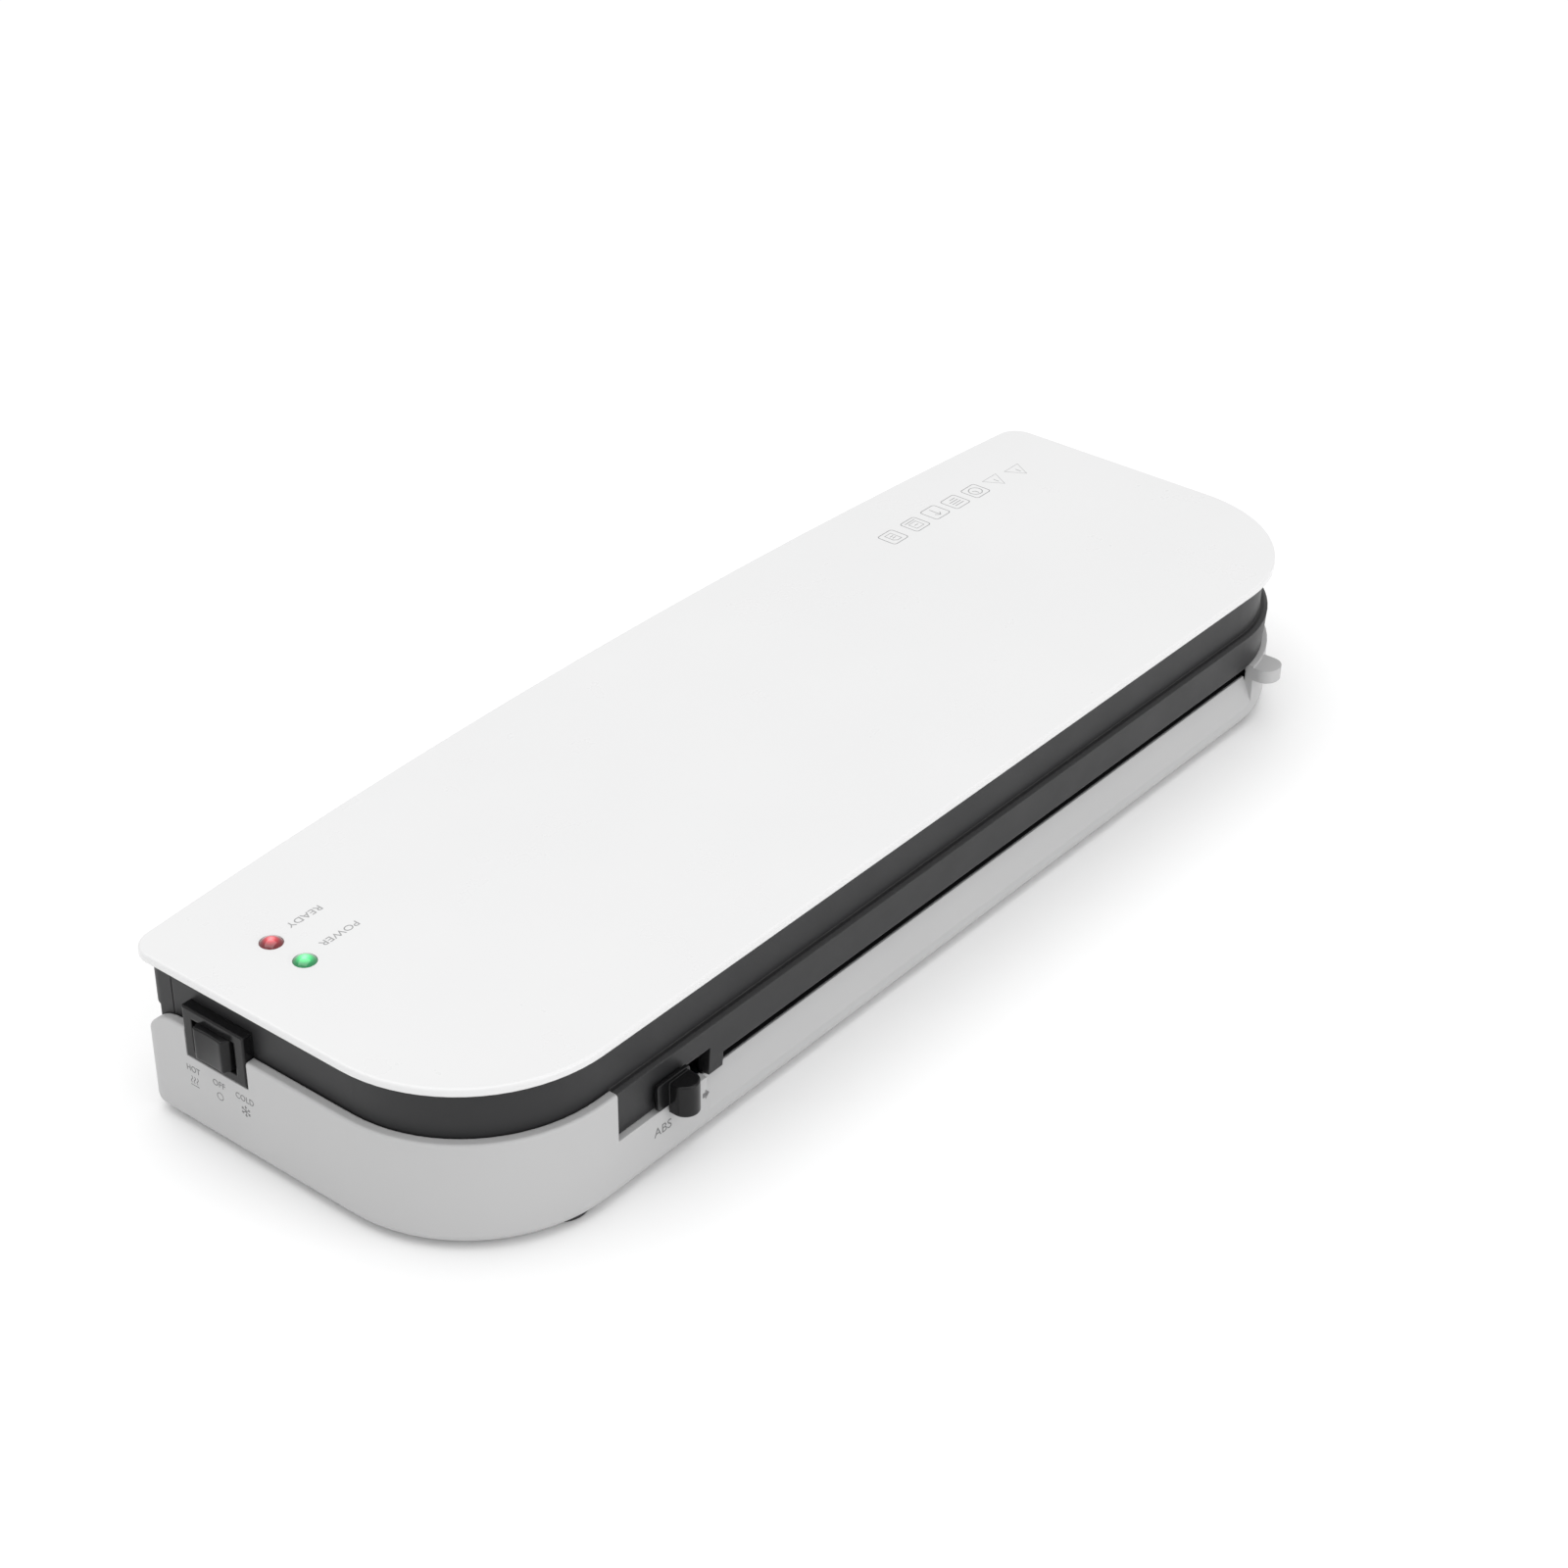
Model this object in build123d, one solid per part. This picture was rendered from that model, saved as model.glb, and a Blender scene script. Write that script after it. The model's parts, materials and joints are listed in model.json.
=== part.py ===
from build123d import *
import os
from math import asin, cos, degrees, pi, radians, sin

# Slim pouch laminator. Millimetres, +Z up, +X towards the right end, -Y is the feed side.
# Heights named ..._z are above the surface that the feet stand on.

# overall form
body_length = 360.0
body_depth = 122.0  # straight front edge to the middle of the bowed back edge
back_bow = 8.2
front_corner = 42.0
back_corner = 7.0
foot_height = 1.6
deck_z = 45.0  # top of the dark housing, where the cover plate lies
cover_thickness = 2.0
cover_edge = 0.7

# base tray
base_wall = 2.6
base_floor = 2.2
base_edge = 3.0
rim_z = 31.0
rim_edge = 0.8
rim_end = 46.0  # where the raised rim stops, from the left end along the front
cheek_back_inset = 2.3
cheek_radius = 12.0
low_wall_z = 19.2
sill_z = 17.3

# dark housing
wall_inset = 3.0
wall = 2.2
deck = 2.0
ridge_inset = 0.8
ridge_drop = 0.6
ridge_slope = 60.0
fascia_taper = 4.0
tooth_z = 15.3  # bottom of the wall between the slider's window and the slot
panel_gap = 0.3
tongue_z = 20.5
seam_from_back = 11.3
seam_gap = 0.4

# feed slot and pouch path
control_bay = 87.0  # from the left end to the slot
drive_bay = 39.0  # from the slot to the right end
slot_top_z = 19.5
slot_lip_z = 15.0
exit_top_z = 25.3
lip_depth = 4.0
ramp_foot_z = 7.0
ramp_top_y = 3.4  # from the front face back to the top of the ramp
ramp_overrun = 9.4
ramp_corner = 12.0
tab_width = 9.0
tab_reach = 5.5
tab_height = 4.0
guide_thickness = 1.6
rib_width = 1.6
rib_count = 5
rib_margin = 10.0

# rollers, their bearings and the frame
roller_radius = 8.5
nip_gap = 0.3
lower_roller_z = 14.0
roller_from_front = 69.0
sleeve_overlap = 2.0
sleeve_to_plate = 4.0
shaft_radius = 3.0
shaft_stub = 1.9  # past the gear at the left
shaft_tail = 3.5  # past the side plate at the right
clip_thickness = 0.8
clip_wall = 1.5
running_clearance = 0.05
plate_thickness = 1.5
plate_foot_z = 5.0
plate_top_z = 40.0
plate_front = 42.0  # ahead of the roller axis
plate_back = 18.0  # behind the roller axis
bush_radius = 5.0
bush_flange = 6.5
bush_flange_thickness = 1.2
block_width = 10.0
block_height = 12.0
block_clearance = 0.15
block_flange = 2.4
nip_lift = 1.0
spring_radius = 2.0
spring_wire = 0.35
bar_size = 3.0
bar_from_roller = 13.0
bar_z = 33.0
rod_radius = 2.5
rod_z = 36.6
front_rod = 17.0  # behind the plates' front edge
rear_rod = 4.0  # ahead of their back edge

# heater
heater_thickness = 5.0
heater_front = 40.0  # ahead of the roller axis
heater_back = 17.0
heater_low_z = 18.3
heater_gap = 4.6
film_thickness = 0.8

# gears
gear_module = 1.0
gear_width = 6.0
roller_teeth = 17
idler_teeth = 24
pinion_teeth = 14
tooth_root = 1.2  # in modules, below the pitch circle
tooth_tip = 0.85  # above it
mesh_clearance = 0.1
gear_from_plate = 2.1
idler_rise = 4.0
pinion_rise = 11.7
stud_radius = 2.5
motor_shaft_radius = 2.0
motor_radius = 17.5
motor_length = 20.0
motor_z = 22.0
lug_reach = 20.5  # from the motor's middle to its two screws
standoff_radius = 2.6
bracket_thickness = 1.2
bracket_from_plate = 11.3

# release slider
slider_travel = 8.0
slider_left = 59.2  # from the left end to the slider plate
slider_width = 11.5
slider_bottom_z = 18.0
slider_height = 7.4
slider_plate = 1.0
slider_proud = 0.4
grip_radius = 3.6
grip_reach = 5.4
grip_bottom_z = 15.7
grip_height = 8.7
window_left = 60.5
window_right = 80.4
window_top_z = 23.8
arm_thickness = 2.2
arm_width = 6.0
arm_z = 29.5
slider_clearance = 0.4  # behind the front wall
wedge_from_slider = 23.0

# rocker switch
switch_from_back = 28.3  # behind corner of the cover to the switch centre
switch_z = 30.6
bezel_width = 21.0
bezel_height = 14.8
bezel_proud = 0.2
switch_width = 19.2
switch_height = 13.0
switch_depth = 22.0
well_width = 14.7
well_height = 9.5
pivot_depth = 7.0
rocker_half = 4.8
rocker_crest = 9.0
rocker_valley = 8.5
rocker_clearance = 0.15
rocker_pin = 1.2
rocker_pin_reach = 0.8

# lamps and boards
lamp_from_left = 22.5
ready_from_back = 25.5
lamp_pitch = 11.5
lamp_radius = 2.9
lamp_clearance = 0.1
lamp_dome = 1.3
led_board_drop = 1.4  # below the housing's ceiling
board_thickness = 1.6

# fasteners and feet
foot_radius = 7.0
foot_socket = 1.0
post_radius = 3.5
boss_radius = 4.5
post_joint_z = 12.0
screw_radius = 1.5
screw_head_radius = 2.8
screw_head = 2.0
bushing_radius = 5.0
bushing_bore = 3.6
bushing_from_left = 30.0
bushing_z = 36.0

# places that follow from the sizes above
half_length = body_length / 2
front_y = -body_depth / 2
back_mid_y = body_depth / 2
back_end_y = back_mid_y - back_bow
arc_radius = (half_length**2 + back_bow**2) / (2 * back_bow)
base_z = foot_height
floor_z = base_z + base_floor
ceiling_z = deck_z - deck
cover_top_z = deck_z + cover_thickness
inner_inset = wall_inset + wall
rim_end_x = -half_length + rim_end
cheek_back_y = back_end_y - cheek_back_inset
seam_y = back_end_y - seam_from_back
slot_left_x = -half_length + control_bay
slot_right_x = half_length - drive_bay
slot_mid_x = (slot_left_x + slot_right_x) / 2
roller_y = front_y + roller_from_front
upper_roller_z = lower_roller_z + 2 * roller_radius + nip_gap
sleeve_left_x = slot_left_x - sleeve_overlap
sleeve_right_x = slot_right_x + sleeve_overlap
left_plate_x = sleeve_left_x - sleeve_to_plate  # inner face
right_plate_x = sleeve_right_x + sleeve_to_plate
plate_front_y = roller_y - plate_front
plate_back_y = roller_y + plate_back
gear_right_x = left_plate_x - plate_thickness - gear_from_plate
gear_left_x = gear_right_x - gear_width
shaft_left_x = gear_left_x - shaft_stub
shaft_right_x = right_plate_x + plate_thickness + shaft_tail
bracket_x = left_plate_x - plate_thickness - bracket_from_plate  # face towards the gears
idler_reach = gear_module * (roller_teeth + idler_teeth) / 2 + mesh_clearance
idler_y = roller_y - (idler_reach**2 - idler_rise**2) ** 0.5
idler_z = lower_roller_z + idler_rise
pinion_reach = gear_module * (idler_teeth + pinion_teeth) / 2 + mesh_clearance
pinion_y = idler_y - (pinion_reach**2 - pinion_rise**2) ** 0.5
pinion_z = idler_z + pinion_rise
motor_y = pinion_y
heater_front_y = roller_y - heater_front
heater_back_y = roller_y - heater_back
heater_top_z = heater_low_z + heater_gap
inner_front_y = front_y + inner_inset
lip_back_y = front_y + lip_depth
bar_y = roller_y - bar_from_roller
switch_y = back_end_y - switch_from_back
bezel_x = -half_length - bezel_proud
wall_x = -half_length + wall_inset
pivot_x = bezel_x + pivot_depth
ready_y = back_end_y - ready_from_back
lamp_x = -half_length + lamp_from_left
lamp_places = {"led_ready": ready_y, "led_power": ready_y - lamp_pitch}
slider_left_x = -half_length + slider_left
slider_back_y = front_y + ridge_inset - slider_proud  # rear face of the slider's plate
far = 2 * body_length  # reaches past everything

# housing posts: (x, y)
posts = [
    (-half_length + 10, front_y + 53),
    (-half_length + 51, front_y + 12),
    (-half_length + 60, back_end_y - 8.8),
    (half_length - 12, front_y + 53),
    (half_length - 22, front_y + 15),
    (half_length - 20, back_end_y - 10.8),
]
feet = {
    "foot_front_left": (-half_length + 36, front_y + 9.7),
    "foot_front_right": (half_length - 36, front_y + 9.7),
    "foot_rear_left": (-half_length + 30, back_end_y - 14.8),
    "foot_rear_right": (half_length - 30, back_end_y - 14.8),
}


def outline(inset, rear_inset=None):
    """Plan outline of the body, drawn in by inset at the front and ends, rear_inset at the back."""
    rear = inset if rear_inset is None else rear_inset
    x = half_length - inset
    with BuildSketch() as sketch:
        with BuildLine():
            Line((-x, back_end_y - rear), (-x, front_y + inset))
            Line((-x, front_y + inset), (x, front_y + inset))
            Line((x, front_y + inset), (x, back_end_y - rear))
            ThreePointArc((x, back_end_y - rear), (0, back_mid_y - rear), (-x, back_end_y - rear))
        make_face()
        fillet(sketch.vertices().sort_by(Axis.Y)[:2], front_corner - inset)
        fillet(sketch.vertices().sort_by(Axis.Y)[-2:], max(back_corner - rear, 1.0))
    return sketch.sketch


def slab(face, low, high):
    """A plan face raised from one height to another."""
    return Pos(0, 0, low) * extrude(face, high - low, dir=(0, 0, 1))


def block(x0, x1, y0, y1, z0, z1):
    """A box given by its limits."""
    return Pos((x0 + x1) / 2, (y0 + y1) / 2, (z0 + z1) / 2) * Box(x1 - x0, y1 - y0, z1 - z0)


def rod_x(radius, x0, x1, y, z):
    """A round bar along X."""
    return Pos((x0 + x1) / 2, y, z) * Rot(0, 90, 0) * Cylinder(radius, x1 - x0)


def rod_z_axis(radius, x, y, z0, z1):
    """A round bar along Z."""
    return Pos(x, y, (z0 + z1) / 2) * Cylinder(radius, z1 - z0)


def prism_x(points, x0, x1):
    """A YZ profile run along X."""
    face = Plane.YZ * Polygon(*points, align=None)
    return Pos(x0, 0, 0) * extrude(face, x1 - x0, dir=(1, 0, 0))


def group(shapes):
    """Several loose pieces kept as separate solids of one node."""
    return Compound([solid for shape in shapes for solid in shape.solids()])


def edges_at(shape, height):
    """The edges that lie flat at one height."""
    return shape.edges().filter_by_position(Axis.Z, height - 0.01, height + 0.01)


def on_left_end(edge):
    return edge.bounding_box().min.X < -half_length + 0.01


def on_front(edge):
    return edge.bounding_box().min.Y < front_y + 0.01


def back_face(x, inset):
    """Where the bowed back wall stands at x, and how far it is turned there, in degrees."""
    turn = asin(x / arc_radius)
    y = back_mid_y - arc_radius + (arc_radius - inset) * cos(turn)
    return y, degrees(turn)


def cheek_cut():
    """What is cut from the left end so that the raised rim ends in a round cheek."""
    start_y = cheek_back_y - cheek_radius
    with BuildSketch(Plane.YZ) as profile:
        with BuildLine():
            RadiusArc((start_y, rim_z), (cheek_back_y, rim_z - cheek_radius), cheek_radius)
            Polyline(
                (cheek_back_y, rim_z - cheek_radius),
                (back_mid_y + 1, rim_z - cheek_radius),
                (back_mid_y + 1, rim_z + 1),
                (start_y, rim_z + 1),
                (start_y, rim_z),
            )
        make_face()
    return extrude(Pos(-far / 2, 0, 0) * profile.sketch, far / 2 + rim_end_x + 1, dir=(1, 0, 0))


def ramp_cut():
    """The feed recess: a slope down to the front face, with a round lower left corner."""
    left = slot_left_x - ramp_overrun
    with BuildSketch(Plane.XZ) as front:
        with BuildLine():
            Polyline(
                (left, rim_z),
                (left, ramp_foot_z),
                (slot_right_x + sleeve_overlap, ramp_foot_z),
                (slot_right_x + sleeve_overlap, rim_z),
                (left, rim_z),
            )
        make_face()
        fillet(front.vertices().group_by(Axis.Z)[0].sort_by(Axis.X)[0], ramp_corner)
    recess = extrude(Pos(0, front_y - 1, 0) * front.sketch, ramp_top_y + 1, dir=(0, 1, 0))
    slope = (slot_lip_z - ramp_foot_z) / ramp_top_y
    floor_line = prism_x(
        [
            (front_y - 1, ramp_foot_z - slope),
            (front_y + ramp_top_y, slot_lip_z),
            (front_y + ramp_top_y, rim_z),
            (front_y - 1, rim_z),
        ],
        -far / 2,
        far / 2,
    )
    return recess & floor_line


def base_tray():
    tray = slab(outline(0, cheek_back_inset), base_z, rim_z)
    tray = fillet(edges_at(tray, base_z), base_edge)
    tray -= slab(outline(base_wall, cheek_back_inset + base_wall), floor_z, rim_z + 1)
    tray -= block(rim_end_x, far, -far, far, low_wall_z, rim_z + 1)
    tray -= cheek_cut()
    outer_rim = [
        edge
        for edge in edges_at(tray, rim_z)
        if edge.length > base_wall + 0.5 and (on_left_end(edge) or on_front(edge))
    ]
    tray = fillet(outer_rim, rim_edge)
    tray -= block(rim_end_x, slot_left_x, front_y - 1, front_y + front_corner, sill_z, rim_z)
    # the lip under the feed slot, its recess and the edge guide at the slot's right end
    lip_left = slot_left_x - ramp_overrun - 2
    lip_right = slot_right_x + sleeve_overlap
    tray += block(lip_left, lip_right, front_y + 1, lip_back_y, floor_z, slot_lip_z)
    tray -= block(slot_left_x - ramp_overrun, lip_right, front_y - 1, lip_back_y, slot_lip_z, rim_z)
    tray -= ramp_cut()
    tab_left = lip_right
    tab_top = low_wall_z - 0.4
    tab_right = tab_left + tab_width
    tab = block(tab_left, tab_right, front_y - tab_reach, front_y + 2, tab_top - tab_height, tab_top)
    nose = tab.edges().filter_by(Axis.Z).group_by(Axis.Y)[0]
    tab = fillet(nose, tab_width / 2 - 0.3)
    tray += tab
    # notch for the switch bezel
    notch_half = bezel_width / 2 + 0.15
    notch_z = switch_z - bezel_height / 2 - 0.15
    tray -= block(-half_length - 1, wall_x, switch_y - notch_half, switch_y + notch_half, notch_z, rim_z + 1)
    # screw bosses, board posts and frame bosses stand on the floor
    for x, y in posts:
        tray += rod_z_axis(boss_radius, x, y, floor_z - 1, post_joint_z)
    for x, y in board_posts():
        tray += rod_z_axis(2.5, x, y, floor_z - 1, board_z())
    for x, y in frame_tabs():
        tray += rod_z_axis(4.0, x, y, floor_z - 1, plate_foot_z)
        tray -= rod_z_axis(screw_radius, x, y, floor_z - 1, plate_foot_z + 1)
    for x, y in posts:
        tray -= rod_z_axis(screw_radius + 0.2, x, y, base_z - 1, post_joint_z + 1)
        tray -= rod_z_axis(screw_head_radius + 0.2, x, y, base_z - 1, base_z + 4)
    for x, y in feet.values():
        tray -= rod_z_axis(foot_radius, x, y, base_z - 1, base_z + foot_socket)
    return tray


def fascia_body():
    """The dark body's outer form: upright upper band, ridge, and a lower band that tapers in."""
    ridge_z = rim_z - ridge_drop
    upright = slab(outline(wall_inset), tongue_z, deck_z)
    depth = ridge_z - tooth_z
    lower = Pos(0, 0, ridge_z) * extrude(outline(ridge_inset), depth, dir=(0, 0, -1), taper=fascia_taper)
    shoulder = extrude(outline(ridge_inset), ridge_drop, dir=(0, 0, 1), taper=ridge_slope)
    shoulder = Pos(0, 0, ridge_z) * shoulder
    band = (lower + shoulder) & block(rim_end_x + panel_gap, far, -far, far, 0, rim_z)
    form = upright + band
    # the wall stops on the sill beside the slider and at the slot's height everywhere else
    form -= block(-far, -half_length + window_right, -far, far, 0, sill_z + panel_gap)
    form -= block(slot_left_x - 1.5, far, -far, seam_y + far, 0, slot_top_z)
    form -= block(-far, rim_end_x + panel_gap, -far, far, 0, tongue_z)
    form -= block(-far, far, front_y + front_corner / 2, far, 0, low_wall_z + panel_gap)
    return form - slab(outline(inner_inset), 0, ceiling_z)


def upper_housing():
    shell = fascia_body()
    front_part = block(-far, far, -far, seam_y, 0, deck_z + 1)
    housing = shell & front_part
    housing += slab(outline(inner_inset + seam_gap), ceiling_z, deck_z)
    notch = block(
        -half_length + window_left,
        -half_length + window_right,
        front_y - 1,
        inner_front_y + 1,
        0,
        window_top_z,
    )
    housing -= notch
    housing -= switch_block(-half_length, -half_length + 10, switch_width + 0.2, switch_height + 0.2)
    for y in lamp_places.values():
        housing -= rod_z_axis(lamp_radius + lamp_clearance, lamp_x, y, ceiling_z - 1, deck_z + 1)
    for x, y in posts:
        housing += rod_z_axis(post_radius, x, y, post_joint_z, ceiling_z + 0.5)
        housing -= rod_z_axis(screw_radius, x, y, post_joint_z - 1, post_joint_z + 10)
    return housing


def rear_fascia():
    back_part = block(-far, far, seam_y + seam_gap, far, 0, deck_z - 0.05)
    fascia = fascia_body() & back_part
    fascia -= slab(outline(inner_inset), ceiling_z - 1, deck_z)
    fascia -= block(slot_left_x, slot_right_x, seam_y, far, 0, exit_top_z)
    fascia -= cheek_clear()
    # two banks of cooling slots above the exit
    for bank_x in (slot_left_x + 45, slot_right_x - 45):
        for step in range(-4, 5):
            x = bank_x + step * 5
            fascia -= Pos(x, back_mid_y, 34.5) * Box(2.2, 40, 8)
    y, turn = back_face(-half_length + bushing_from_left, wall_inset)
    entry = Pos(-half_length + bushing_from_left, y, bushing_z)
    return fascia - entry * Rot(90, 0, -turn) * Cylinder(bushing_radius, 20)


def cheek_clear():
    """Keeps the rear fascia off the base's round cheek at the left end."""
    gap = cheek_back_inset + base_wall + panel_gap
    inside = slab(outline(base_wall + panel_gap, gap), 0, rim_z)
    outside = block(-far, rim_end_x, -far, cheek_back_y + 1, 0, rim_z)
    return (outside - inside) & block(-far, rim_end_x, -far, far, 0, rim_z)


def top_cover():
    cover = slab(outline(0), deck_z, cover_top_z)
    cover = fillet(edges_at(cover, cover_top_z), cover_edge)
    for y in lamp_places.values():
        cover -= rod_z_axis(lamp_radius + lamp_clearance, lamp_x, y, deck_z - 1, cover_top_z + 1)
    return cover


def lamp(y):
    """A dome lamp: a round stem from its board up through the deck and the cover."""
    stem_top = cover_top_z - 0.1
    ball_radius = (lamp_radius**2 + lamp_dome**2) / (2 * lamp_dome)
    ball = Pos(lamp_x, y, stem_top + lamp_dome - ball_radius) * Sphere(ball_radius)
    tall = rod_z_axis(lamp_radius, lamp_x, y, ceiling_z - led_board_drop, stem_top + lamp_dome)
    cap = tall & ball & block(-far, far, -far, far, stem_top, far)
    return rod_z_axis(lamp_radius, lamp_x, y, ceiling_z - led_board_drop, stem_top) + cap


def foot():
    pad = Pos(0, 0, (foot_height + foot_socket) / 2) * Cylinder(foot_radius, foot_height + foot_socket)
    return fillet(edges_at(pad, 0), 0.6)


def frame_tabs():
    """Centres of the side plates' four bent feet."""
    left = left_plate_x - plate_thickness - 4.5
    right = right_plate_x + plate_thickness + 4.5
    return [(x, y) for x in (left, right) for y in (plate_front_y + 4, plate_back_y - 4)]


def side_plate(side):
    """A steel end plate with a bush hole, an open slot for the bearing block and two bent feet."""
    inner = left_plate_x if side < 0 else right_plate_x
    outer = inner + side * plate_thickness
    low_x, high_x = sorted((inner, outer))
    plate = block(low_x, high_x, plate_front_y, plate_back_y, plate_foot_z, plate_top_z)
    corners = plate.edges().filter_by(Axis.X).group_by(Axis.Z)[-1]
    plate = fillet(corners, 3)
    plate -= rod_x(bush_radius, low_x - 1, high_x + 1, roller_y, lower_roller_z)
    slot_half = block_width / 2 + block_clearance
    slot_low = upper_roller_z - block_height / 2 - block_clearance
    slot_front, slot_back = roller_y - slot_half, roller_y + slot_half
    plate -= block(low_x - 1, high_x + 1, slot_front, slot_back, slot_low, plate_top_z + 1)
    for rod_y in rod_places():
        plate -= rod_x(screw_radius, low_x - 1, high_x + 1, rod_y, rod_z)
    for x, y in frame_tabs():
        if (x < 0) == (side < 0):
            foot_low, foot_high = sorted((outer - side * plate_thickness, outer + side * 9.0))
            bent = block(foot_low, foot_high, y - 4, y + 4, plate_foot_z, plate_foot_z + plate_thickness)
            plate += bent - rod_z_axis(screw_radius + 0.2, x, y, 0, plate_foot_z + 5)
    if side < 0:
        plate -= rod_x(screw_radius, low_x - 1, high_x + 1, idler_y, idler_z)
        for y, z in standoff_places():
            plate -= rod_x(screw_radius, low_x - 1, high_x + 1, y, z)
    return plate


def rod_places():
    return (plate_front_y + front_rod, plate_back_y - rear_rod)


def tie_rod(y):
    """A cross rod between the side plates, tapped at both ends."""
    rod = rod_x(rod_radius, left_plate_x, right_plate_x, y, rod_z)
    rod -= rod_x(screw_radius, left_plate_x - 1, left_plate_x + 6, y, rod_z)
    return rod - rod_x(screw_radius, right_plate_x - 6, right_plate_x + 1, y, rod_z)


def screw_down(x, y, top):
    """A pan-head screw driven downwards, its head seated at top."""
    head = rod_z_axis(screw_head_radius, x, y, top, top + screw_head)
    return head + rod_z_axis(screw_radius, x, y, floor_z - 1, top)


def screw_x(side, seat_x, y, z, length):
    """A pan-head screw along X, its head outside seat_x on the given side."""
    head = sorted((seat_x, seat_x + side * screw_head))
    shank = sorted((seat_x, seat_x - side * length))
    return rod_x(screw_head_radius, *head, y, z) + rod_x(screw_radius, *shank, y, z)


def frame_screws():
    screws = [screw_down(x, y, plate_foot_z + plate_thickness) for x, y in frame_tabs()]
    for rod_y in rod_places():
        screws.append(screw_x(-1, left_plate_x - plate_thickness, rod_y, rod_z, 5))
        screws.append(screw_x(1, right_plate_x + plate_thickness, rod_y, rod_z, 5))
    return group(screws)


def roller_shaft(z, flat_left):
    shaft = rod_x(shaft_radius, flat_left, shaft_right_x, roller_y, z)
    ends = shaft.edges().filter_by(GeomType.CIRCLE)
    return chamfer(ends, 0.4)


def sleeve(z):
    tube = rod_x(roller_radius, sleeve_left_x, sleeve_right_x, roller_y, z)
    return tube - rod_x(shaft_radius, sleeve_left_x - 1, sleeve_right_x + 1, roller_y, z)


def shaft_clips(z, left_x, right_x):
    """Retaining rings just outside the bearings at both ends."""
    rings = []
    for x in (left_x, right_x):
        ring = rod_x(shaft_radius + clip_wall, x, x + clip_thickness, roller_y, z)
        rings.append(ring - rod_x(shaft_radius, x - 1, x + 2, roller_y, z))
    return group(rings)


def lower_bushes():
    bushes = []
    for inner, side in ((left_plate_x, -1), (right_plate_x, 1)):
        barrel = sorted((inner - side * bush_flange_thickness, inner + side * plate_thickness))
        flange = sorted((inner - side * bush_flange_thickness, inner))
        bush = rod_x(bush_radius, *barrel, roller_y, lower_roller_z)
        bush += rod_x(bush_flange, *flange, roller_y, lower_roller_z)
        bore = shaft_radius + running_clearance
        bushes.append(bush - rod_x(bore, barrel[0] - 1, barrel[1] + 1, roller_y, lower_roller_z))
    return group(bushes)


def bearing_block(side):
    """A sliding block in the side plate's slot, with an inner flange that carries the lift bar."""
    inner = left_plate_x if side < 0 else right_plate_x
    core = sorted((inner - side * 0.1, inner + side * (plate_thickness + 0.6)))
    flange = sorted((inner - side * 0.1, inner - side * (0.1 + block_flange)))
    low = upper_roller_z - block_height / 2
    high = upper_roller_z + block_height / 2
    body = block(*core, roller_y - block_width / 2, roller_y + block_width / 2, low, high)
    body += block(*flange, bar_y - bar_size / 2 - 1, roller_y + block_width / 2 + 2, low + 0.2, high)
    bore = shaft_radius + running_clearance
    return body - rod_x(bore, core[0] - 5, core[1] + 5, roller_y, upper_roller_z)


def lift_bar():
    """The bar that joins the two blocks, with a nub over the release wedge."""
    end = 0.1 + block_flange
    front, back = bar_y - bar_size / 2, bar_y + bar_size / 2
    bar = block(left_plate_x + end, right_plate_x - end, front, back, bar_z, bar_z + bar_size)
    nub_x = wedge_tip_x() + 0.5
    return bar + block(nub_x, nub_x + 2, front, back, bar_z - 1, bar_z)


def pressure_spring(side):
    """A coil spring on the bearing block, drawn at the height it has when the nip is released."""
    x = (left_plate_x if side < 0 else right_plate_x) + side * 0.2
    low = upper_roller_z + block_height / 2 + spring_wire
    coil = Helix(pitch=1.0, height=2.0, radius=spring_radius)
    section = Plane(origin=coil @ 0, z_dir=coil % 0) * Circle(spring_wire)
    return Pos(x, roller_y, low) * sweep(section, path=coil)


def spring_bracket(side):
    """A bent strap over the open slot that the spring works against."""
    inner = left_plate_x if side < 0 else right_plate_x
    outer = inner + side * plate_thickness
    low = plate_top_z
    strap = sorted((inner - side * 4.0, outer + side * 1.5))
    reach = block_width / 2 + 6
    top = block(*strap, roller_y - reach, roller_y + reach, low + 1.4, low + 2.4)
    for offset in (-1, 1):
        y0, y1 = sorted((roller_y + offset * (block_width / 2 + 1.5), roller_y + offset * reach))
        top += block(*sorted((outer, outer + side * 1.5)), y0, y1, low - 6, low + 1.4)
    return top


def wedge_tip_x():
    return slider_left_x + slider_width + wedge_from_slider


def slider_knob():
    """Plate outside the front, neck through the window, and a half-round grip."""
    plate_y = slider_back_y - slider_plate
    top = slider_bottom_z + slider_height
    knob = block(slider_left_x, slider_left_x + slider_width, plate_y, slider_back_y, slider_bottom_z, top)
    knob = fillet(knob.edges().filter_by(Axis.Y), 0.8)
    grip_x = slider_left_x + slider_width - grip_radius - 0.2
    half_y = plate_y - (grip_reach - grip_radius)
    grip_top = grip_bottom_z + grip_height
    grip = rod_z_axis(grip_radius, grip_x, half_y, grip_bottom_z, grip_top)
    grip += block(grip_x - grip_radius, grip_x + grip_radius, half_y, far, grip_bottom_z, grip_top)
    grip &= block(-far, far, -far, plate_y + 0.2, 0, far)
    grip = fillet(edges_at(grip, grip_top), 0.5)
    neck_left = -half_length + window_left + 0.8
    neck_right = -half_length + window_right - slider_travel - 1.5
    neck_back = inner_front_y + slider_clearance
    neck = block(neck_left, neck_right, slider_back_y, neck_back, slider_bottom_z + 0.7, window_top_z - 0.5)
    return knob + grip + neck


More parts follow.
